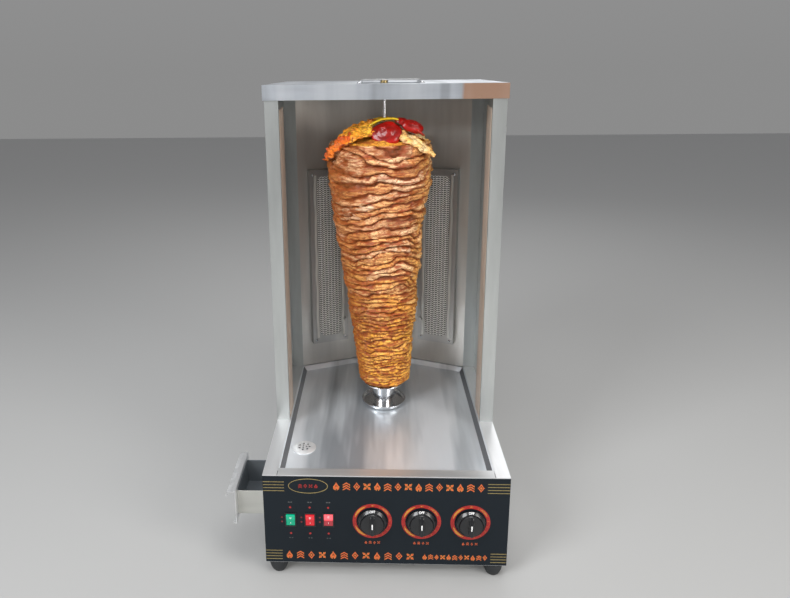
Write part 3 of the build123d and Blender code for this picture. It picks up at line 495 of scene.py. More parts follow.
sheet_finishes = {
    "front_panel": lip_steel,
    "left_side_panel": side_steel,
    "right_side_panel": side_steel,
    "left_column": case_steel,
    "right_column": case_steel,
    "roof_cover": roof_steel,
    "roof_underplate": niche_steel,
    "top_bearing_plate": bright_steel,
    "burner_wall": niche_steel,
    "tray_pan": tray_steel,
    "burner_frames": burner_steel,
    "thermocouples": burner_steel,
    "drawer_box": box_steel,
    "drawer_guides": drawer_steel,
    "rear_cover": case_steel,
    "bottom_plate": case_steel,
    "motor_bracket": case_steel,
    "drain_strainer": strainer_steel,
    "hub_dish": bright_steel,
    "hub_post": bright_steel,
    "spit_socket": bright_steel,
    "rubber_feet": foot_rubber,
    "switch_housings": knob_plastic,
}
for node, finish in sheet_finishes.items():
    finished_copy(node, finish)
print("sheets with rounded edges:", len(sheet_finishes))

# %% [markdown]
# The strainer's holes are punched in a ring, with three more inside it. The cutters are one cylinder, moved
# from place to place and joined, and a boolean takes them all out of the sheet at once.

# %% punch the strainer
strainer = bpy.data.objects["drain_strainer_finished"]
low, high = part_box("drain_strainer")
strainer_center = ((low[0] + high[0]) / 2, (low[1] + high[1]) / 2)
punches = []
for count, reach, size in ((7, 0.011, 0.0025), (3, 0.0046, 0.0021)):
    for index in range(count):
        angle = 2 * math.pi * index / count
        x = strainer_center[0] + reach * math.cos(angle)
        y = strainer_center[1] + reach * math.sin(angle)
        bpy.ops.object.select_all(action="DESELECT")
        bpy.ops.mesh.primitive_cylinder_add(vertices=20, radius=size, depth=0.012, location=(x, y, high[2]))
        punches.append(bpy.context.object)
hole_count = len(punches)
punch = joined("strainer_punches", punches)
apply_modifier(strainer, "BOOLEAN", operation="DIFFERENCE", object=punch, solver="EXACT")
bpy.data.objects.remove(punch)
print("holes in the strainer:", hole_count)

# %% [markdown]
# Each column is folded back on itself inside its front flange. That return is a narrow upright strip, a few
# millimetres behind the flange, and its warm brown tone is a painted reflection.

# %% column returns
column_low, column_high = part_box("right_column")
inside = column_low[0]
return_corners = ((inside, 0.006), (inside + 0.0012, 0.006), (inside + 0.0012, 0.062), (inside, 0.062))
return_points = []
return_faces = []
for side in (-1, 1):
    return_faces += tube_faces(2, 4, len(return_points))
    for on_top in (False, True):
        for x, y in return_corners:
            rear_step = 0.004 if y > 0.05 else 0
            z = column_high[2] - 0.019 + rear_step if on_top else column_low[2] + 0.0035
            return_points.append((side * x, column_low[1] + y, z))
column_returns = new_piece("column_returns", return_points, return_faces, return_steel)
outward(column_returns)
bevel(column_returns)
smooth_edges(column_returns)
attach(column_returns, "machine_case")
print("column returns: 2 strips at x =", round(column_low[0], 4))

# %% [markdown]
# ## Screws
#
# The case is held by small pan head screws with a cross recess. One head is spun from its outline and cut
# with a cross; then a copy goes to each place where the CAD has a screw.

# %% one screw head
head_outline = [
    (0, 2.2), (1.4, 2.1), (2.7, 1.7), (3.5, 0.95), (3.8, 0.3), (3.8, 0), (2.0, 0), (2.0, -1.5), (0, -1.5),
]


def spun(name, outline, finish, steps=28, scale=0.001):
    """Spins an outline of (radius, height) once round Z."""
    points = [(radius * scale, 0, height * scale) for radius, height in outline]
    mesh = bpy.data.meshes.new(name)
    mesh.from_pydata(points, [(index, index + 1) for index in range(len(points) - 1)], [])
    piece = bpy.data.objects.new(name, mesh)
    bpy.context.collection.objects.link(piece)
    alone(piece)
    bpy.ops.object.mode_set(mode="EDIT")
    bpy.ops.mesh.select_all(action="SELECT")
    bpy.ops.mesh.spin(steps=steps, angle=2 * math.pi, center=(0, 0, 0), axis=(0, 0, 1))
    bpy.ops.object.mode_set(mode="OBJECT")
    mesh.materials.append(finish)
    outward(piece)
    return piece


screw_head = spun("screw_head", head_outline, bright_steel)
arm_points = []
arm_faces = []
for long_x, long_y in ((2.0, 0.42), (0.42, 2.0)):
    arm_faces += tube_faces(2, 4, len(arm_points))
    for height, reach in ((0.9, 0.75), (3.0, 1.0)):
        for x, y in ((-1, -1), (1, -1), (1, 1), (-1, 1)):
            arm_points.append((x * long_x * reach * 0.001, y * long_y * reach * 0.001, height * 0.001))
cross_cutter = new_piece("cross_cutter", arm_points, arm_faces, bright_steel)
apply_modifier(screw_head, "BOOLEAN", operation="DIFFERENCE", object=cross_cutter, solver="EXACT",
               use_self=True)
bpy.data.objects.remove(cross_cutter)
smooth_edges(screw_head, 30)
print("faces in a screw head:", len(screw_head.data.polygons))

# %% put a head on every CAD screw


def loose_parts(node):
    """The loose parts of a CAD node: for each one its points, and its faces' normals and areas."""
    mesh = bmesh.new()
    mesh.from_mesh(nodes[node].data)
    bmesh.ops.remove_doubles(mesh, verts=mesh.verts, dist=0.00002)
    seen = set()
    parts = []
    for start in mesh.verts:
        if start in seen:
            continue
        seen.add(start)
        group = [start]
        for vert in group:
            for edge in vert.link_edges:
                other = edge.other_vert(vert)
                if other not in seen:
                    seen.add(other)
                    group.append(other)
        faces = {face for vert in group for face in vert.link_faces}
        points = np.array([tuple(vert.co) for vert in group])
        parts.append((points, [(face.normal.copy(), face.calc_area()) for face in faces]))
    mesh.free()
    return parts


def area_by_facing(faces, digits):
    """How much area faces each way, with the ways rounded off."""
    totals = {}
    for normal, area in faces:
        key = tuple(round(part, digits) for part in normal)
        totals[key] = totals.get(key, 0) + area
    return totals


def screw_places(node):
    """Where each screw's head stands and the way it faces, worked out from the CAD mesh."""
    places = []
    for points, faces in loose_parts(node):
        totals = area_by_facing(faces, 2)
        way = Vector(max(totals, key=totals.get)).normalized()
        along = points @ np.array(way)
        middle = points.mean(axis=0)
        across = np.linalg.norm(points - middle - np.outer(along - along.mean(), np.array(way)), axis=1)
        if across[along > along.max() - 0.0005].max() < across[along < along.min() + 0.0005].max():
            way = -way
            along = -along
        seat = along.max() - 0.0024
        center = Vector(middle) + way * (seat - along.mean())
        places.append((center, way))
    return places


def screw_heads(name, node, finish):
    """Copies of the screw head at every place of a CAD node, as one piece that stands for it."""
    copies = []
    for index, (center, way) in enumerate(screw_places(node)):
        copy = bpy.data.objects.new(name, screw_head.data.copy())
        bpy.context.collection.objects.link(copy)
        facing = way.to_track_quat("Z", "Y").to_matrix().to_4x4()
        copy.data.transform(Matrix.Translation(center) @ facing @ Matrix.Rotation(index * 0.7, 4, "Z"))
        copy.data.materials[0] = finish
        copies.append(copy)
    piece = joined(name, copies)
    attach(piece, body_of_node[node])
    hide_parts(node)
    print(name, len(copies))


screw_heads("case_screw_heads", "case_screws", bright_steel)
screw_heads("burner_screw_heads", "burner_screws", bright_steel)
screw_heads("foot_screw_heads", "foot_screws", bright_steel)
bpy.data.objects.remove(screw_head)

# %% [markdown]
# ## Burner mesh
#
# Each burner is covered by expanded steel mesh: a sheet that is slit and pulled until the slits open. Seen
# from the front it is a ladder of zigzag ribbons, one above the other, held by thin upright ones.

# %% the expanded mesh
burner_parts = loose_parts("burner_meshes")
strand_width = 0.0021
strand_depth = 0.0009
teeth = 14
mesh_rows = 80


def burner_axes(points, faces):
    """The middle, the way across and the way out of one burner's mesh."""
    totals = area_by_facing(faces, 3)
    facing = max((key for key in totals if key[1] < -0.1), key=totals.get)
    out = Vector(facing).normalized()
    middle = Vector((points.min(axis=0) + points.max(axis=0)) / 2)
    return middle, Vector((0, 0, 1)).cross(out).normalized(), out


burner_places = [burner_axes(points, faces) for points, faces in burner_parts]
strand_points = []
strand_faces = []


def strand(line, widen, out):
    """A flat ribbon along a line of points, widened both ways and given its depth."""
    strand_faces.extend(tube_faces(len(line), 4, len(strand_points)))
    for point in line:
        for side, depth in ((-1, 0), (1, 0), (1, 1), (-1, 1)):
            sideways = widen * (side * strand_width / 2)
            strand_points.append(point + sideways + out * ((depth - 0.5) * strand_depth))


half_across = 0.0300
half_up = (burner_parts[0][0][:, 2].max() - burner_parts[0][0][:, 2].min()) / 2 - 0.001
row_pitch = 2 * half_up / mesh_rows
for middle, across, out in burner_places:
    for row in range(mesh_rows):
        base = middle + Vector((0, 0, -half_up + (row + 0.5) * row_pitch))
        line = []
        for tooth in range(teeth + 1):
            swing = 0.30 * row_pitch * (1 if tooth % 2 else -1)
            reach = -half_across + 2 * half_across * tooth / teeth
            line.append(base + across * reach + Vector((0, 0, swing)) + out * (0.0003 * (tooth % 2)))
        strand(line, Vector((0, 0, 1)), out)
    for column in range(0, teeth + 1, 2):
        reach = -half_across + 2 * half_across * column / teeth
        ends = [middle + across * reach + Vector((0, 0, side * half_up)) - out * 0.0006 for side in (-1, 1)]
        strand(ends, across * 0.35, out)
expanded_mesh = new_piece("expanded_mesh", strand_points, strand_faces, mesh_wire)
outward(expanded_mesh)
smooth_edges(expanded_mesh, 30)
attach(expanded_mesh, "machine_case")
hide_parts("burner_meshes")
print("mesh ribbons:", 3 * mesh_rows)

# %% [markdown]
# Heat has pulled the thin rails beside each mesh into shallow waves. A strip is laid along both long edges
# and its rows are pushed in and out by two slow sine waves.

# %% the wavy rails
rail_length = 0.428
rail_rows = 121
rail_profile = ((0, 0.0021), (0.0015, 0.0042), (0.0052, 0.0042), (0.0066, 0.0021))
rail_points = []
rail_faces = []
for index, (middle, across, out) in enumerate(burner_places):
    for side in (-1, 1):
        rail_faces += tube_faces(rail_rows, 4, len(rail_points))
        for row in range(rail_rows):
            height = -rail_length / 2 + rail_length * row / (rail_rows - 1)
            wave = 0.0007 * math.sin(height * 95 + index) + 0.0005 * math.sin(height * 41 + side)
            lean = 0.0006 * math.sin(height * 62 + 2 * side)
            for shift, rise in rail_profile:
                offset = side * (0.0315 + shift + lean)
                lifted = rise + wave if rise > 0.003 else rise
                rail_points.append(middle + across * offset + out * lifted + Vector((0, 0, height)))
mesh_rails = new_piece("mesh_rails", rail_points, rail_faces, rail_steel)
outward(mesh_rails)
smooth_edges(mesh_rails, 30)
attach(mesh_rails, "machine_case")
print("rails:", 2 * len(burner_places))

# %% [markdown]
# ## The printed front
#
# A dark film covers the front sheet, with everything printed on it in thin ink: corner stripes, an oval
# badge, rows of ornaments, dots by the switches and a scale round each knob. Each ink is one piece of flat
# outlines, made solid by a tenth of a millimetre. The badge and the ornaments are our own plain motifs.

# %% inks and the printing helper
overlay_film = Finish("overlay_film", Metallic=0.0, Specular_IOR_Level=0.22)
film_patch = overlay_film.noise(5, detail=5)
film_grain = overlay_film.noise(900, detail=2)
film_wipe = overlay_film.noise(18, (0.3, 1, 1), detail=6, rough=0.7)
overlay_film.color(overlay_film.mix(film_patch, (0.0040, 0.0070, 0.0105, 1), (0.0090, 0.0138, 0.0190, 1)))
overlay_film.feed("Roughness", film_wipe * 0.22 + 0.36)
overlay_film.relief(film_grain, 0.00003, 0.4)


def ink(name, dark, light, glow=0.0):
    """A printing ink with slightly worn, uneven cover, and, when glow is set, a faint painted glow of its
    light colour.
    """
    finish = Finish(name, Roughness=0.48, Emission_Strength=glow, Emission_Color=(*light, 1))
    cover = finish.noise(420, detail=4, rough=0.7)
    finish.color(finish.mix(finish.ramp(cover, [(0.34, 0.0), (0.62, 1.0)]), (*dark, 1), (*light, 1)))
    finish.relief(cover, 0.00003, 0.3)
    return finish.material


gold_ink = ink("gold_ink", (0.20, 0.15, 0.05), (0.34, 0.26, 0.10))
# The orange, amber and red inks get a faint painted glow.
orange_ink = ink("orange_ink", (0.40, 0.050, 0.014), (0.66, 0.13, 0.035), glow=0.03)
amber_ink = ink("amber_ink", (0.40, 0.15, 0.015), (0.58, 0.26, 0.04), glow=0.03)
red_ink = ink("red_ink", (0.22, 0.010, 0.009), (0.40, 0.020, 0.016), glow=0.03)
dim_ink = ink("dim_ink", (0.05, 0.055, 0.06), (0.10, 0.10, 0.10))
print_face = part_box("control_overlay")[0][1]


def printed(name, shapes, finish, lift=0.00012):
    """Ink solids from flat outlines of (x, z) in millimetres, each one a list of points."""
    points = []
    faces = []
    for shape in shapes:
        first = len(points)
        points += [(x * 0.001, print_face - lift, z * 0.001) for x, z in shape]
        faces.append([first + index for index in range(len(shape))])
    piece = new_piece(name, points, faces, finish)
    alone(piece)
    bpy.ops.object.mode_set(mode="EDIT")
    bpy.ops.mesh.select_all(action="SELECT")
    bpy.ops.mesh.extrude_region_move(TRANSFORM_OT_translate={"value": (0, lift - 0.00001, 0)})
    bpy.ops.object.mode_set(mode="OBJECT")
    outward(piece)
    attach(piece, "machine_case")
    print(name, len(shapes))


def bar(x0, z0, x1, z1, width):
    """The outline of a straight stroke."""
    run = Vector((x1 - x0, z1 - z0)).normalized() * (width / 2)
    side = Vector((-run.y, run.x))
    start = Vector((x0, z0))
    end = Vector((x1, z1))
    return [tuple(corner) for corner in (start - side, end - side, end + side, start + side)]


def band(center, inner, outer, start, end, steps):
    """Short quads along an arc between two radii, from one angle to another in degrees."""
    quads = []
    for step in range(steps):
        quad = []
        for share, radius in ((step, inner), (step, outer), (step + 1, outer), (step + 1, inner)):
            turn_to = math.radians(start + (end - start) * share / steps)
            reach = radius(share / steps) if callable(radius) else radius
            quad.append((center[0] + reach * math.cos(turn_to), center[1] + reach * math.sin(turn_to)))
        quads.append(quad)
    return quads


def oval_band(center, across, high, line, steps=64):
    """Short quads along the line of an ellipse."""
    quads = []
    for step in range(steps):
        quad = []
        for share, grow in ((step, -line), (step, line), (step + 1, line), (step + 1, -line)):
            turn_to = 2 * math.pi * share / steps
            x = center[0] + (across + grow / 2) * math.cos(turn_to)
            quad.append((x, center[1] + (high + grow / 2) * math.sin(turn_to)))
        quads.append(quad)
    return quads


def disc(x, z, radius, steps=14):
    """A round outline."""
    turns = [2 * math.pi * step / steps for step in range(steps)]
    return [(x + radius * math.cos(turn_to), z + radius * math.sin(turn_to)) for turn_to in turns]


# %% [markdown]
# Four ornaments take turns in the two long rows: a flame, a diamond, a stack of chevrons and a four-leaf
# rosette. They share one size box, so a row can be set out like beads on a string.

# %% the ornaments


def placed(outline, x, z, scale):
    """An outline round (0, 0), scaled and moved to its place."""
    return [(x + p * scale, z + q * scale) for p, q in outline]


def flame(x, z, size):
    """A flame with a bright core left open."""
    left = [
        (0, 1.0), (-0.30, 0.35), (-0.62, -0.10), (-0.58, -0.62),
        (-0.18, -1.0), (-0.10, -0.52), (-0.26, -0.12), (0, 0.34),
    ]
    mirrored = [(-p, q) for p, q in left]
    core = [(0, 0.02), (0.12, -0.3), (0, -0.66), (-0.12, -0.3)]
    return [placed(outline, x, z, size / 2) for outline in (left, mirrored, core)]


def diamond(x, z, size):
    """A framed diamond with a small one inside."""
    half = size / 2
    inner = 0.66
    corners = [(0, 1), (0.72, 0), (0, -1), (-0.72, 0)]
    shapes = []
    for index in range(4):
        a = corners[index]
        b = corners[(index + 1) % 4]
        quad = [a, b, (b[0] * inner, b[1] * inner), (a[0] * inner, a[1] * inner)]
        shapes.append(placed(quad, x, z, half))
    shapes.append(placed(corners, x, z, half * 0.3))
    return shapes


def chevrons(x, z, size):
    """Three chevrons, one above the other."""
    shapes = []
    for level in (-0.75, -0.15, 0.45):
        for side in (-1, 1):
            quad = [(0, level + 0.5), (side * 0.75, level), (side * 0.75, level - 0.26), (0, level + 0.2)]
            shapes.append(placed(quad, x, z, size / 2))
    return shapes


def rosette(x, z, size):
    """Four leaves round a dot."""
    half = size / 2
    leaf = [(0.28, 0), (0.6, 0.28), (1.08, 0), (0.6, -0.28)]
    shapes = []
    for quarter in range(4):
        turn_to = math.radians(90 * quarter + 45)
        c = math.cos(turn_to)
        s = math.sin(turn_to)
        shapes.append(placed([(p * c - q * s, p * s + q * c) for p, q in leaf], x, z, half))
    shapes.append(disc(x, z, half * 0.2, 8))
    return shapes


motifs = (flame, chevrons, diamond, rosette)


def ornament_row(left, right_end, height, size, count):
    """Motifs set out evenly between two ends."""
    shapes = []
    for index in range(count):
        x = left + (right_end - left) * (index + 0.5) / count
        shapes += motifs[index % 4](x, height + 0.4 * math.sin(index * 2.1), size)
    return shapes


def grown(shapes, amount):
    """The same outlines, grown from their own middles, for a thin border behind them."""
    bigger = []
    for shape in shapes:
        middle_x = sum(x for x, z in shape) / len(shape)
        middle_z = sum(z for x, z in shape) / len(shape)
        outline = []
        for x, z in shape:
            reach = math.hypot(x - middle_x, z - middle_z)
            share = 1 + amount / max(reach, 0.6)
            outline.append((middle_x + (x - middle_x) * share, middle_z + (z - middle_z) * share))
        bigger.append(outline)
    return bigger


knob_middles = (-26, 70, 166)
knob_level = 129
title_row = ornament_row(-106, 194, 206.5, 17.5, 15)
maker_row = ornament_row(-203, 60, 48.5, 17.5, 12) + ornament_row(72, 203, 48.0, 12, 11)
caption_rows = []
for x in knob_middles:
    caption_rows += ornament_row(x - 17, x + 17, 80, 7, 4)
printed("row_borders", grown(title_row, 0.7) + grown(maker_row, 0.6), amber_ink, lift=0.00008)
printed("title_ornaments", title_row, orange_ink)
printed("maker_ornaments", maker_row, orange_ink)
printed("caption_ornaments", caption_rows, orange_ink)

# %% [markdown]
# The stripes, the badge and the small marks by the switches.

# %% stripes, badge and marks
stripes = []
stripe_groups = ((-239.4, -198, 214.5), (-239.4, -206, 57.8), (197, 239.4, 215), (208, 239.4, 57.6))
for left_x, right_x, top_z in stripe_groups:
    for row in range(4):
        z = top_z - row * 6.6
        stripes.append(bar(left_x, z, right_x, z, 1.2))
printed("gold_stripes", stripes, gold_ink)
printed("badge_line", oval_band((-151, 206), 38.2, 15.7, 1.2), gold_ink)
badge_marks = []
for index in range(4):
    badge_marks += motifs[(index + 1) % 4](-166.5 + index * 10.3, 206, 9.5)
printed("badge_marks", badge_marks, red_ink)
red_dots = []
grey_marks = []
side_marks = []
for name in ("left", "middle", "right"):
    low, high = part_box(name + "_rocker")
    x = (low[0] + high[0]) * 500
    red_dots += [disc(x, 157.8, 2.2), disc(x, 98.7, 2.2)]
    grey_marks += [bar(x - 4, 169.5, x - 0.6, 169.5, 2.2), bar(x + 0.8, 169.5, x + 4, 169.5, 2.2)]
    grey_marks += [bar(x - 4, 88, x - 1, 88, 1.4), bar(x + 1, 88, x + 4, 88, 1.4)]
    side_marks += [disc(x - 17, 135, 1.9, 10), disc(x - 17, 125, 1.9, 10)]
printed("red_dots", red_dots, red_ink)
printed("grey_marks", grey_marks, dim_ink)
printed("side_marks", side_marks, ink("deep_red_ink", (0.10, 0.012, 0.012), (0.20, 0.02, 0.02)))

# %% [markdown]
# Round each knob runs a red scale. Two amber wedges inside it swell and thin out again: they show how high
# the flame is at each turn of the knob.

# %% the knob scales
scale_rings = []
scale_wedges = []
scale_ticks = []


def wedge_inner(share):
    """The inner radius of a wedge at a share of its length."""
    return 34.9 - 2.3 * math.sin(math.pi * share)


def wedge_outer(share):
    """The outer radius of a wedge at a share of its length."""
    return 34.9 + 2.3 * math.sin(math.pi * share)


for x in knob_middles:
    middle = (x, knob_level)
    scale_rings += band(middle, 31.4, 38.8, 0, 360, 72)
    scale_wedges += band(middle, wedge_inner, wedge_outer, 108, 168, 14)
    scale_wedges += band(middle, wedge_inner, wedge_outer, 196, 252, 14)
    scale_ticks += band(middle, wedge_inner, wedge_outer, 22, 62, 10)
    scale_wedges += [disc(x, knob_level + 35, 1.5, 10)]
    for step in range(9):
        turn_to = math.radians(-75 + step * 20)
        ends = []
        for reach in (33, 37):
            ends += [x + reach * math.cos(turn_to), knob_level + reach * math.sin(turn_to)]
        scale_ticks.append(bar(*ends, 0.8))
printed("scale_rings", scale_rings, red_ink, lift=0.00008)
printed("scale_wedges", scale_wedges, amber_ink, lift=0.00014)
printed("scale_ticks", scale_ticks, ink("brown_ink", (0.34, 0.09, 0.02), (0.50, 0.16, 0.04)), lift=0.00014)

# %% [markdown]
# ## Gas knobs
#
# A gas knob has a sloping skirt, a round cap and a narrow bar to grip. The skirt and cap are one spun
# outline; the bar is a rounded block with slanting sides. A pale pointer and the word OFF are set into the
# plastic.

# %% the knobs
knob_outline = [
    (0, 0), (28.4, 0), (28.9, 0.4), (28.9, 1.2), (28.5, 1.7), (25.4, 5.6), (24.6, 6.3), (24.2, 6.4),
    (23.8, 6.1), (23.5, 5.7), (23.1, 5.7), (22.7, 6.2), (22.4, 8.0), (21.9, 8.7), (21.0, 9.0), (0, 9.1),
]
grip_levels = ((21.4, 5.3, 8.8), (20.9, 5.0, 10.8), (20.2, 4.7, 13.4), (19.4, 4.3, 15.2), (18.0, 3.4, 15.9))


def rounded_ring(long_half, short_half, steps=8):
    """Corners of a slot-shaped outline that is long in Y, in millimetres."""
    ring = []
    straight = long_half - short_half
    for end, begin in ((1, 0), (-1, 180)):
        for step in range(steps + 1):
            turn_to = math.radians(begin + 180 * step / steps)
            ring.append((short_half * math.cos(turn_to), end * straight + short_half * math.sin(turn_to)))
    return ring


def knob_grip(name):
    """The bar on the cap: stacked slot outlines with a lid, whose upper end slants down to the cap."""
    points = []
    for long_half, short_half, height in grip_levels:
        for x, y in rounded_ring(long_half, short_half):
            slant = min(max((y - 8) / 12, 0), 1) * (height - 8.8) * 0.95
            points.append((x * 0.001, y * 0.001, (height - slant) * 0.001))
    faces = tube_faces(len(grip_levels), len(points) // len(grip_levels))
    return new_piece(name, points, faces, knob_plastic)


def knob_word():
    """The word OFF, lying on the slope of the skirt."""
    bpy.ops.object.select_all(action="DESELECT")
    bpy.ops.object.text_add(location=(0, 0, 0))
    word = bpy.context.object
    word.data.body = "OFF"
    word.data.size = 0.0064
    word.data.align_x = "CENTER"
    word.data.align_y = "CENTER"
    word.data.extrude = 0.00012
    word.data.offset = 0.00008
    word.data.resolution_u = 3
    bpy.ops.object.convert(target="MESH")
    word = bpy.context.object
    slope = Matrix.Rotation(math.radians(-51), 4, "X")
    word.data.transform(Matrix.Translation((0, 0.0269, 0.0040)) @ slope)
    word.data.materials.append(white_mark)
    return word


def pointer(name):
    """The pale line on top of the grip."""
    points = []
    for z in (0.0155, 0.01605):
        points += [(-0.0009, -0.0040, z), (0.0009, -0.0040, z), (0.0013, 0.0068, z), (-0.0013, 0.0068, z)]
    faces = [[3, 2, 1, 0], [4, 5, 6, 7], [0, 1, 5, 4], [1, 2, 6, 5], [2, 3, 7, 6], [3, 0, 4, 7]]
    return new_piece(name, points, faces, white_mark)


for name in ("left", "centre", "right"):
    low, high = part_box(name + "_knob")
    stand = Matrix.Translation(((low[0] + high[0]) / 2, high[1], (low[2] + high[2]) / 2))
    face_cook = stand @ Matrix.Rotation(math.radians(90), 4, "X")
    shell = spun(name + "_knob_shell", knob_outline, knob_plastic, steps=72)
    grip = knob_grip(name + "_knob_grip")
    outward(grip)
    bevel(grip)
    body = joined(name + "_knob_body", [shell, grip])
    body.data.transform(face_cook)
    smooth_edges(body, 30)
    marks = joined(name + "_knob_marks", [pointer(name + "_pointer"), knob_word()])
    marks.data.transform(face_cook)
    outward(marks)
    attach(body, name + "_knob")
    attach(marks, name + "_knob")
    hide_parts(name + "_knob")
    print(body.name, len(body.data.polygons))

# %% [markdown]
# ## Rocker switches
#
# Clear coloured plastic over a small lamp: green for the motor, red for the lamp and a third that is lit.
# Each rocker's upper half gets the lighter colour, a painted highlight, so its colour follows the height. The
# lit one glows brightest on that half, partly from its lamp; the green and red ones carry a faint painted
# glow.

# %% the rockers
rocker_level = 0.130


def rocker_plastic(name, low_color, high_color, glow):
    """Glossy switch plastic that goes from one colour to another at the height of the rockers, with a painted
    highlight on the lighter upper half.
    """
    finish = Finish(name, Roughness=0.34, Coat_Weight=0.15, Emission_Strength=glow)
    # Painted highlight: the upper half of each rocker gets the lighter colour, as if its tilted face caught
    # the light.
    upper = finish.ramp((finish.place_along(2) - (rocker_level - 0.02)) * 25, [(0.46, 0.0), (0.54, 1.0)])
    speck = finish.noise(300, detail=4)
    shade = finish.mix(upper, (*low_color, 1), (*high_color, 1))
    finish.color(finish.mix(speck * 0.3, shade, (*[0.6 * part for part in high_color], 1)))
    finish.feed("Emission Color", shade)
    finish.relief(speck, 0.00004, 0.4)
    return finish.material


rocker_front = -0.314
ring_steps = 24
bar_corners = ((-1, -0.0089, -0.0080), (1, -0.0089, -0.0080), (1, -0.0085, -0.0048), (-1, -0.0085, -0.0048))
rocker_looks = {
    # The green and red rockers are not lit, so their glow is painted; the third's glow stands for its lamp.
    "left": rocker_plastic("green_rocker_plastic", (0.0, 0.27, 0.15), (0.0, 0.36, 0.20), 0.30),
    "middle": rocker_plastic("red_rocker_plastic", (0.50, 0.012, 0.02), (0.62, 0.02, 0.03), 0.25),
    "right": rocker_plastic("lit_rocker_plastic", (0.16, 0.015, 0.02), (0.95, 0.09, 0.11), 0.8),
}
rocker_tilts = {"left": 7, "middle": 7, "right": -7}
for name, finish in rocker_looks.items():
    finished_copy(name + "_rocker", finish, edge=0.0007, segments=3)
    low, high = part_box(name + "_rocker")
    x = (low[0] + high[0]) / 2
    points = []
    faces = []
    for step in range(ring_steps):
        turn_to = 2 * math.pi * step / ring_steps
        for radius in (0.0015, 0.0019):
            z = 0.0062 + radius * 1.15 * math.sin(turn_to)
            points.append((x + radius * math.cos(turn_to), -0.0087, z))
        a = 2 * step
        b = (a + 2) % (2 * ring_steps)
        faces.append([a, a + 1, b + 1, b])
    faces.append([len(points) + corner for corner in range(4)])
    for side, y, z in bar_corners:
        points.append((x + side * 0.0003, y, z))
    marks = new_piece(name + "_rocker_marks", points, faces, white_mark)
    apply_modifier(marks, "SOLIDIFY", thickness=0.0006, offset=0)
    outward(marks)
    tilt = Matrix.Rotation(math.radians(rocker_tilts[name]), 4, "X")
    marks.data.transform(Matrix.Translation((0, rocker_front, rocker_level)) @ tilt)
    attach(marks, body_of_node[name + "_rocker"])
    print(marks.name)

# %% [markdown]
# ## The meat
#
# Thin marinated slices are pushed on the spit one over another and their edges hang a little over the slice
# below. That is many small lips in uneven rows, so the meat is a fine grid wrapped round the spit. Its
# radius comes from the outline of the stack, and each point is then moved in or out by where it lies in its
# slice. Colour is kept per point: pale in the middle of a slice, orange-brown on its lip, nearly black in
# the creases, which is partly roast crust and partly painted shade.

# %% soft noise that closes round the spit


def lattice_noise(u, v, across, up, seed):
    """Smooth noise from -1 to 1 on a grid of random values that repeats once round in u, from 0 to 1."""
    values = np.random.default_rng(seed).uniform(-1, 1, (up + 2, across))
    column = u * across
    row = np.clip(v, 0, 0.999999) * up
    left = np.floor(column).astype(int)
    low = np.floor(row).astype(int)
    a = column - left
    b = row - low
    a = a * a * (3 - 2 * a)
    b = b * b * (3 - 2 * b)
    first = values[low, left % across] * (1 - a) + values[low, (left + 1) % across] * a
    second = values[low + 1, left % across] * (1 - a) + values[low + 1, (left + 1) % across] * a
    return first * (1 - b) + second * b


def layered_noise(u, v, across, up, seed, layers=3):
    """Several noises, each one finer and weaker than the last."""
    total = 0
    for layer in range(layers):
        total = total + lattice_noise(u, v, across * 2**layer, up * 2**layer, seed + layer) / 1.9**layer
    return total


print("noise helpers are ready")

# %% the stack's outline
# Each row is a height, the radius on the left and the radius on the right.
stack_outline = [
    (0.276, 0.046, 0.048), (0.284, 0.054, 0.059), (0.300, 0.057, 0.061), (0.330, 0.061, 0.063),
    (0.372, 0.066, 0.066), (0.473, 0.080, 0.074), (0.569, 0.095, 0.080), (0.617, 0.102, 0.085),
    (0.663, 0.110, 0.085), (0.709, 0.114, 0.091), (0.754, 0.119, 0.099), (0.799, 0.123, 0.103),
    (0.826, 0.122, 0.102), (0.840, 0.116, 0.097),
]
stack_heights, stack_left, stack_right = zip(*stack_outline)
stack_bottom = stack_heights[0]
stack_top = stack_heights[-1]
around = 330
rows = 268
top_rows = 26
bottom_rows = 9
turn_share = np.arange(around) / around
row_share = np.linspace(0, 1, rows)
u, v = np.meshgrid(turn_share, row_share)
theta = 2 * np.pi * u
height = stack_bottom + (stack_top - stack_bottom) * v
left = np.interp(height, stack_heights, stack_left)
right_side = np.interp(height, stack_heights, stack_right)
radius = (left + right_side) / 2 + (right_side - left) / 2 * np.cos(theta)
print("grid points on the flank:", rows * around)

# %% slices, folds and creases
row_height = np.interp(row_share, [0, 0.45, 0.7, 1], [0.0074, 0.0112, 0.0170, 0.0235])
row_count = np.concatenate([[0], np.cumsum((stack_top - stack_bottom) / (rows - 1) / row_height[1:])])
level = np.interp(v, row_share, row_count)
level = level + 1.25 * lattice_noise(u, v, 5, 9, 11) + 0.62 * lattice_noise(u, v, 12, 22, 12)
level = level + 0.30 * lattice_noise(u, v, 27, 56, 13) + 0.10 * lattice_noise(u, v, 64, 120, 15)
slice_row = np.floor(level).astype(int)
within = level - slice_row
row_random = np.random.default_rng(21).uniform(0, 1, (400, 40))
slices_round = 7 + (row_random[slice_row % 400, 0] * 4).astype(int)
slice_place = u * slices_round + row_random[slice_row % 400, 1] * 7 + 0.24 * lattice_noise(u, v, 9, 40, 14)
slice_index = np.floor(slice_place).astype(int) % slices_round
beside = slice_place - np.floor(slice_place)
slice_tone = row_random[(slice_row * 7 + slice_index * 3) % 400, 2 + slice_index % 30]
slice_reach = row_random[(slice_row * 5 + slice_index * 11) % 400, 3 + slice_index % 30]
lip = np.clip(1 - np.abs(within - 0.42) * 2, 0, 1) ** 0.55
seam = np.clip(np.minimum(beside, 1 - beside) * 9, 0, 1)
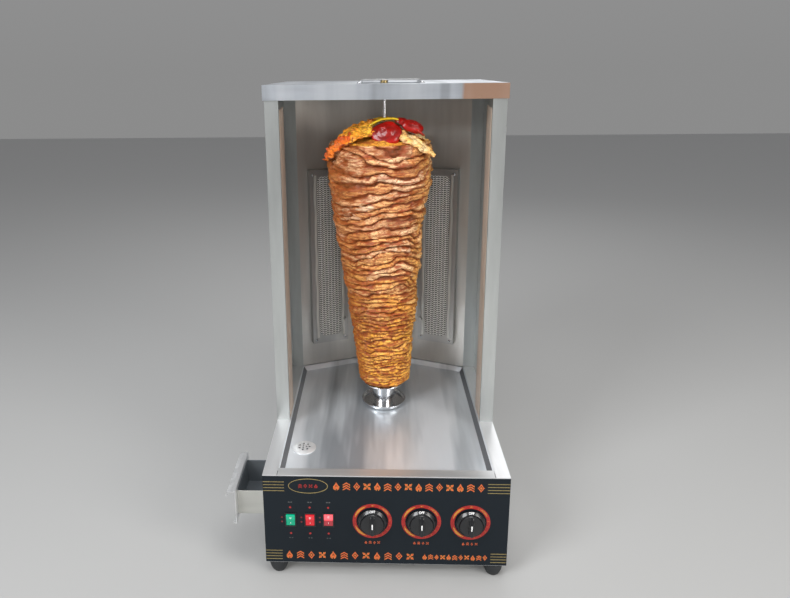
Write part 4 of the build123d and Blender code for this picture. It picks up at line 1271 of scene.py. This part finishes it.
crease_width = 5.2 + 2.6 * lattice_noise(u, v, 17, 40, 16)
crease = np.clip(np.minimum(within, 1 - within) * crease_width, 0, 1) * (0.72 + 0.28 * seam)
folds = layered_noise(u, v, 22, 150, 31, layers=2)
threads = lattice_noise(u, v, 60, 266, 33)
swell = row_height[:, None] * 0.36
shape = np.minimum(swell, 0.0048) * (lip * (0.3 + 1.1 * slice_reach) - 1.05 * (1 - crease))
shape = shape + 0.0015 * folds + 0.0006 * threads
lumps = 0.0034 * layered_noise(u, v, 7, 18, 41)
radius = radius + shape + lumps - 0.0015
print("slices on the stack:", int(slice_row.max()) + 1, "rows")

# %% colour of the roast
high_share = np.clip((v - 0.25) / 0.45, 0, 1)
tan = np.array([1.0, 0.52, 0.205])
pale = np.array([1.0, 0.76, 0.52])
gold = np.array([1.0, 0.50, 0.050])
brown = np.array([0.46, 0.115, 0.012])
rust = np.array([0.28, 0.018, 0.002])
char = np.array([0.055, 0.005, 0.001])


def blend(first, second, share):
    """Goes from one colour to another by a share for each point."""
    return first * (1 - share[..., None]) + second * share[..., None]


flat_part = blend(gold * np.ones((*v.shape, 3)), tan * np.ones((*v.shape, 3)), high_share)
flat_part = blend(flat_part, pale, np.clip(slice_tone * 1.5 - 0.55, 0, 1) * (0.15 + 0.85 * high_share))
flat_part = blend(flat_part, brown, np.clip(0.50 - slice_tone * 1.4, 0, 1))
streaks = np.clip(layered_noise(u, v, 20, 200, 51, layers=2) * 2.2 - 0.24, 0, 1)
flat_part = blend(flat_part, rust, streaks * 0.9)
veins = np.clip(1.15 - np.abs(layered_noise(u, v, 12, 62, 55, layers=2)) * 7.5, 0, 1)
flat_part = blend(flat_part, rust, veins * 0.95)
second_veins = np.clip(1.1 - np.abs(layered_noise(u, v, 17, 96, 58, layers=2)) * 8.5, 0, 1)
flat_part = blend(flat_part, brown, second_veins * 0.9)
# Dark creases: partly roast crust, partly painted shade where the slices fold in.
crease_roast_and_shade = np.clip(1 - crease * 1.15, 0, 1)
flat_part = blend(flat_part, rust, np.clip(crease_roast_and_shade * 2.5, 0, 1))
flat_part = blend(flat_part, char, np.clip(crease_roast_and_shade * 1.9 - 0.55, 0, 1))
burnt = np.clip(layered_noise(u, v, 9, 34, 61, layers=3) * 1.9 - 0.55, 0, 1)
flat_part = blend(flat_part, (char + rust) / 2, burnt * (0.35 + 0.65 * (1 - lip)) * 0.9)
# Painted shade: the left side of the stack, away from the light, is darkened.
painted_left_shade = np.clip(-np.cos(theta) * 1.2 - 0.30, 0, 1) * 0.8
roast = blend(flat_part, brown * 0.7, painted_left_shade)
# Painted highlight: the lips on the right side are lightened towards gold.
painted_right_light = np.clip(np.cos(theta) * 1.6 - 0.9, 0, 1) * np.clip(lip * 1.2 - 0.2, 0, 1) * 0.75
roast = blend(roast, np.array([1.0, 0.62, 0.16]), painted_right_light)
print("roast colours on", roast.shape[0] * roast.shape[1], "points")

# %% close the top and the bottom and make the piece
points = []
colors = []
for ring in range(bottom_rows):
    share = (ring + 1) / (bottom_rows + 1)
    sag = 0.0035 * (1 - share) + 0.0012 * lattice_noise(u[0], np.full(around, share), 14, 6, 71)
    reach = 0.012 + (radius[0] - 0.012) * share ** 0.8
    ring_height = stack_bottom - 0.0030 + sag
    points += list(np.stack([reach * np.cos(theta[0]), reach * np.sin(theta[0]), ring_height], axis=1))
    # Painted shade: the underside is half as bright as the lowest row of the flank.
    colors += list(roast[0] * 0.5)
points += list(np.stack([radius * np.cos(theta), radius * np.sin(theta), height], axis=2).reshape(-1, 3))
colors += list(roast.reshape(-1, 3))
for ring in range(top_rows):
    share = (ring + 1) / (top_rows + 1)
    reach = radius[-1] * (0.04 + 0.96 * (1 - share) ** 0.92)
    rough_top = 0.0034 * layered_noise(u[0], np.full(around, share), 11, 8, 81)
    ring_height = stack_top + 0.031 * share ** 1.15 + rough_top
    points += list(np.stack([reach * np.cos(theta[0]), reach * np.sin(theta[0]), ring_height], axis=1))
    mottled = np.clip(layered_noise(u[0], np.full(around, share), 16, 12, 91) * 0.8 + 0.5, 0, 1)
    colors += list(blend(np.tile(brown, (around, 1)), np.tile(gold, (around, 1)), mottled))
all_rows = bottom_rows + rows + top_rows
faces = tube_faces(all_rows, around, lids=False)
for end, center in ((0, (0, 0, stack_bottom - 0.002)), (all_rows - 1, (0, 0, stack_top + 0.031))):
    points.append(center)
    colors.append(brown)
    for column in range(around):
        after = (column + 1) % around
        corner = (end * around + column, end * around + after)
        faces.append((len(points) - 1, *(corner[::-1] if end == 0 else corner)))

roast_finish = Finish("roast_meat", Subsurface_Weight=0.06, Subsurface_Scale=0.003, Specular_IOR_Level=0.22)
roast_color = roast_finish.node("ShaderNodeVertexColor", {"layer_name": "roast"})
fibre = roast_finish.noise(190, (0.5, 0.5, 2.4), detail=6, rough=0.7)
fine_speck = roast_finish.noise(620, detail=4)
fibre_share = roast_finish.ramp(fibre, [(0.36, 0.55), (0.60, 0.0)])
fibre_shade = roast_finish.mix(fibre_share, roast_color, (0.20, 0.035, 0.008, 1))
vein_noise = roast_finish.noise(46, (1, 1, 2.6), detail=5, rough=0.6)
vein = roast_finish.ramp(vein_noise, [(0.455, 0.0), (0.495, 0.85), (0.53, 0.0)])
veined = roast_finish.mix(vein, fibre_shade, (0.16, 0.018, 0.003, 1))
roast_finish.color(roast_finish.mix(fine_speck * 0.10, veined, (1.0, 0.66, 0.26, 1)))
roast_finish.feed("Roughness", fibre * 0.30 + 0.26)
roast_finish.relief(fibre * 0.7 + fine_speck * 0.3, 0.0012, 0.8)


def paint_points(piece, colors):
    """Keeps one colour for each point in the attribute that the roast finish reads."""
    layer = piece.data.color_attributes.new("roast", "FLOAT_COLOR", "POINT")
    flat = np.ones((len(colors), 4), dtype=np.float32)
    flat[:, :3] = np.clip(np.array(colors), 0, 1)
    layer.data.foreach_set("color", flat.ravel())


meat = new_piece("meat_stack", points, faces, roast_finish.material)
paint_points(meat, colors)
outward(meat)
smooth_edges(meat, 70)
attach(meat, "spit")
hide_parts("meat_cone")
print("meat faces:", len(meat.data.polygons))

# %% [markdown]
# ## Toppings
#
# A half tomato and slices of yellow pepper crown the stack, with ruffled flaps of fat beside them that
# baste the meat as they melt. A flap is a ribbon that follows a curve, widened and rippled by noise, then
# thickened.

# %% ruffled flaps


def smooth_path(path, count, passes):
    """Points along a path given in millimetres, with its corners rounded off by averaging."""
    knots = np.array(path, dtype=float) * 0.001
    stations = np.linspace(0, len(knots) - 1, count)
    line = np.stack([np.interp(stations, range(len(knots)), knots[:, axis]) for axis in range(3)], axis=1)
    for smoothing in range(passes):
        line[1:-1] = (line[:-2] + 2 * line[1:-1] + line[2:]) / 4
    return line


def heading(line, index):
    """The way a line runs at one of its points."""
    return Vector(line[min(index + 1, len(line) - 1)] - line[max(index - 1, 0)]).normalized()


def flap(name, path, width, colors, seed, ruffle=0.004):
    """A ruffled ribbon through points in millimetres, as wide as the widths at those points."""
    along = 56
    cross = 14
    line = smooth_path(path, along, 3)
    widths = np.interp(np.linspace(0, len(width) - 1, along), range(len(width)), width) * 0.001
    s, t = np.meshgrid(np.linspace(0, 1, cross), np.linspace(0, 1, along))
    wave = layered_noise(s * 0.999, t, 3, 9, seed)
    edge_wave = lattice_noise(s * 0.999, t, 2, 16, seed + 7)
    points = []
    for index in range(along):
        outside = Vector((line[index][0], line[index][1], 0)).normalized()
        outside = (outside + Vector((0, 0, 0.75))).normalized()
        sideways = heading(line, index).cross(outside).normalized()
        for step in range(cross):
            offset = (s[index, step] - 0.5) * widths[index] * (1 + 0.18 * edge_wave[index, step])
            rise = ruffle * wave[index, step] - 0.25 * abs(s[index, step] - 0.5) * widths[index]
            points.append(Vector(line[index]) + sideways * offset + outside * rise)
    piece = new_piece(name, points, sheet_faces(along, cross), roast_finish.material)
    first, second, edge = (np.array(color) for color in colors)
    shade = blend(np.tile(first, (along, cross, 1)), second, np.clip(wave * 0.7 + 0.5, 0, 1))
    rim = np.clip(1 - np.minimum(np.minimum(s, 1 - s), np.minimum(t, 1 - t) * 3) * 9, 0, 1)
    shade = blend(shade, edge, rim * np.clip(0.5 + 0.8 * edge_wave, 0, 1))
    paint_points(piece, list(shade.reshape(-1, 3)))
    apply_modifier(piece, "SOLIDIFY", thickness=0.0022, offset=0)
    apply_modifier(piece, "SUBSURF", levels=1, render_levels=1)
    outward(piece)
    smooth_edges(piece, 80)
    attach(piece, "spit")


cream = ((1.0, 0.84, 0.46), (1.0, 0.60, 0.17), (0.36, 0.07, 0.008))
yellow = ((1.0, 0.60, 0.045), (1.0, 0.36, 0.015), (0.40, 0.05, 0.006))
ember = ((1.0, 0.26, 0.012), (0.70, 0.07, 0.008), (0.07, 0.010, 0.003))
flap("right_fat_flap", [(14, -56, 864), (36, -68, 860), (58, -76, 850), (80, -79, 837), (104, -66, 816)],
     [14, 26, 32, 28, 14], cream, 101, ruffle=0.0045)
flap("right_rear_flap", [(34, 2, 882), (62, -8, 870), (86, -10, 850), (102, -8, 826)],
     [34, 46, 40, 24], cream, 108)
flap("left_fat_flap", [(-12, -46, 880), (-36, -62, 874), (-60, -70, 862), (-86, -70, 848)],
     [24, 40, 40, 28], yellow, 115, ruffle=0.006)
flap("left_ember_flap", [(-66, -70, 858), (-92, -72, 844), (-114, -62, 830), (-126, -44, 810)],
     [22, 36, 34, 20], ember, 122, ruffle=0.008)
flap("left_rear_flap", [(-16, 6, 884), (-50, 0, 876), (-84, -4, 860), (-114, -10, 834)],
     [40, 52, 46, 28], yellow, 129, ruffle=0.006)
flap("left_middle_flap", [(-20, -24, 884), (-50, -34, 876), (-80, -40, 862), (-106, -40, 842)],
     [34, 40, 36, 24], yellow, 150, ruffle=0.007)
flap("rear_edge_flap", [(-92, 72, 836), (-30, 98, 850), (36, 94, 850), (86, 62, 834)],
     [26, 40, 40, 24], yellow, 143)
print("flaps of fat: 7")

# %% [markdown]
# The tomato is a rounded half with its cut face down, slightly collapsed by the heat. The pepper slices are
# bent bands with rounded sides, darker underneath than on top: painted shade.

# %% tomato and pepper
glossy_skin = Finish("glossy_skin", Coat_Weight=0.35, Coat_Roughness=0.10, Specular_IOR_Level=0.3,
                     Subsurface_Weight=0.1, Subsurface_Scale=0.004)
skin_color = glossy_skin.node("ShaderNodeVertexColor", {"layer_name": "roast"})
skin_patch = glossy_skin.noise(90, detail=6, rough=0.65)
skin_share = glossy_skin.ramp(skin_patch, [(0.48, 0.0), (0.72, 0.75)])
glossy_skin.color(glossy_skin.mix(skin_share, skin_color, (0.10, 0.008, 0.005, 1)))
glossy_skin.feed("Roughness", skin_patch * 0.3 + 0.16)
glossy_skin.relief(skin_patch, 0.0012, 0.6)


def dome(name, center, half_sizes, lean, color, dark, seed):
    """A sagging rounded half, wider than high, leaned and set on the stack."""
    across_steps = 40
    up_steps = 20
    points = []
    colors = []
    for row in range(up_steps + 1):
        rise = -0.35 + (math.pi / 2 + 0.35) * row / up_steps
        turns = np.arange(across_steps) / across_steps
        bump = 1 + 0.07 * layered_noise(turns, np.full(across_steps, row / (up_steps + 1)), 6, 5, seed)
        for step in range(across_steps):
            angle = 2 * math.pi * step / across_steps
            spread = math.cos(rise) * bump[step]
            points.append((half_sizes[0] * spread * math.cos(angle), half_sizes[1] * spread * math.sin(angle),
                           half_sizes[2] * math.sin(rise) * bump[step]))
            share = min(max(bump[step] * 4 - 3.6, 0), 1)
            colors.append([a * share + b * (1 - share) for a, b in zip(color, dark)])
    faces = tube_faces(up_steps + 1, across_steps, lids=False)
    faces.append(list(reversed(range(across_steps))))
    piece = new_piece(name, points, faces, glossy_skin.material)
    paint_points(piece, colors)
    tilt = Matrix.Rotation(math.radians(lean[0]), 4, "X") @ Matrix.Rotation(math.radians(lean[1]), 4, "Y")
    piece.data.transform(Matrix.Translation(center) @ tilt)
    outward(piece)
    smooth_edges(piece, 60)
    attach(piece, "spit")


red = (0.56, 0.006, 0.003)
dark_red = (0.16, 0.003, 0.002)
dome("tomato_half", (0.004, -0.060, 0.859), (0.034, 0.029, 0.022), (52, -3), red, dark_red, 151)
dome("tomato_piece", (0.058, -0.050, 0.874), (0.024, 0.015, 0.012), (38, 22), red, dark_red, 152)
dome("small_tomato_piece", (0.036, -0.046, 0.883), (0.015, 0.011, 0.009), (30, 12), red, dark_red, 153)


def pepper_band(name, path, width, thickness, color, seed):
    """A bent band of pepper with rounded sides."""
    along = 60
    around_band = 14
    line = smooth_path(path, along, 6)
    points = []
    colors = []
    wobble = layered_noise(np.zeros(along), np.linspace(0, 1, along), 3, 8, seed)
    for index in range(along):
        ahead_run = heading(line, index)
        side = ahead_run.cross(Vector((0, 0, 1))).normalized()
        top = side.cross(ahead_run).normalized()
        taper = math.sin(math.pi * (index + 3) / (along + 5)) ** 0.35
        for step in range(around_band):
            angle = 2 * math.pi * step / around_band
            x = width * taper * math.cos(angle) * 0.5 * (1 + 0.12 * wobble[index])
            z = thickness * taper * math.sin(angle) * 0.5
            points.append(Vector(line[index]) + side * x + top * z)
            # Painted shade: each band is darker underneath than on top.
            share = 0.5 + 0.5 * math.sin(angle)
            colors.append([part * (0.55 + 0.45 * share) for part in color])
    faces = tube_faces(along, around_band)
    piece = new_piece(name, points, faces, glossy_skin.material)
    paint_points(piece, colors)
    outward(piece)
    smooth_edges(piece, 60)
    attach(piece, "spit")


front_path = [
    (-38, -48, 868), (-26, -52, 881), (-6, -50, 890), (20, -48, 891), (42, -48, 884), (56, -50, 875),
]
pepper_band("front_pepper_band", front_path, 0.010, 0.006, (1.0, 0.66, 0.03), 161)
pepper_band("rear_pepper_band", [(-44, 8, 878), (-24, 2, 885), (-2, 10, 889), (26, 6, 886), (48, 12, 876)],
            0.013, 0.006, (0.88, 0.52, 0.04), 162)
pepper_band("dark_pepper_band", [(-26, -58, 874), (-8, -60, 884), (18, -58, 885), (36, -58, 877)],
            0.005, 0.004, (0.03, 0.028, 0.008), 163)
pepper_band("red_pepper_band", [(40, -54, 880), (56, -60, 875), (70, -60, 866), (82, -54, 856)],
            0.008, 0.006, (0.55, 0.02, 0.01), 164)
print("tomato pieces: 3, pepper bands: 4")

# %% [markdown]
# ## Fat drawer
#
# The drawer's front plate is pressed from thin sheet, and the lip along its top is dented by years of
# pulling. The plate is a strip through the corners of the folded profile, divided finely enough for the
# dents to show.

# %% the drawer front
low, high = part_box("drawer_front")
plate_x = low[0] + 0.0200
profile = [
    (plate_x - 0.0070, low[2] + 0.0030), (plate_x - 0.0012, low[2] + 0.0004), (plate_x, low[2] + 0.0024),
    (plate_x, high[2] - 0.0024), (plate_x - 0.0014, high[2] - 0.0008), (plate_x - 0.0185, high[2] - 0.0046),
    (low[0] + 0.0010, high[2] - 0.0064), (low[0] + 0.0006, high[2] - 0.0100),
]
stations = []
for start, end in zip(profile, profile[1:]):
    count = max(1, int(math.dist(start, end) / 0.0016))
    for step in range(count):
        stations.append(tuple(a + (b - a) * step / count for a, b in zip(start, end)))
stations.append(profile[-1])
deep_steps = 100
points = []
for x, z in stations:
    on_lip = min(max((plate_x - 0.003 - x) / 0.006, 0), 1) * (1 if z > high[2] - 0.012 else 0.3)
    for step in range(deep_steps + 1):
        share = step / deep_steps
        y = low[1] + (high[1] - low[1]) * share
        ridge = 0.0005 * math.sin(share * 150) * on_lip
        dent_noise = lattice_noise(np.array([share * 0.99]), np.array([(x - low[0]) / 0.03]), 24, 4, 171)
        dent = 0.0009 * float(dent_noise[0]) * on_lip
        points.append((x, y, z + ridge + dent - 0.0010 * on_lip))
faces = sheet_faces(len(stations), deep_steps + 1)
drawer_plate = new_piece("drawer_plate", points, faces, drawer_steel)
apply_modifier(drawer_plate, "SOLIDIFY", thickness=0.0011, offset=-1)
outward(drawer_plate)
smooth_edges(drawer_plate, 40)
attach(drawer_plate, "drawer")
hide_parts("drawer_front")
print("drawer plate faces:", len(drawer_plate.data.polygons))

# %% [markdown]
# ## Finishes for the parts that stay as they are
#
# The hidden works, such as the gas line and the motor, keep their CAD meshes and only get a finish.

# %% finishes by node
node_finishes = {
    "control_overlay": overlay_film.material,
    "top_bush": brass_finish,
    "spit_disc": bright_steel,
    "spit_rod": bright_steel,
    "ceramic_plaques": plaque_clay,
    "gas_injectors": brass_finish,
    "gas_manifold": brass_finish,
    "gas_inlet": brass_finish,
    "gearmotor": motor_paint,
    "cord_gland": knob_plastic,
}
for side in ("left", "centre", "right"):
    node_finishes[side + "_burner_body"] = burner_steel
    node_finishes[side + "_gas_valve"] = brass_finish
    node_finishes[side + "_gas_pipe"] = pipe_metal
    node_finishes[side + "_valve_spindle"] = bright_steel
    node_finishes[side + "_valve_plunger"] = brass_finish
for node, piece in nodes.items():
    finish = node_finishes.get(node, case_steel)
    if not piece.material_slots:
        piece.data.materials.append(finish)
    for slot in piece.material_slots:
        slot.material = finish
print("nodes with a finish:", len(nodes))
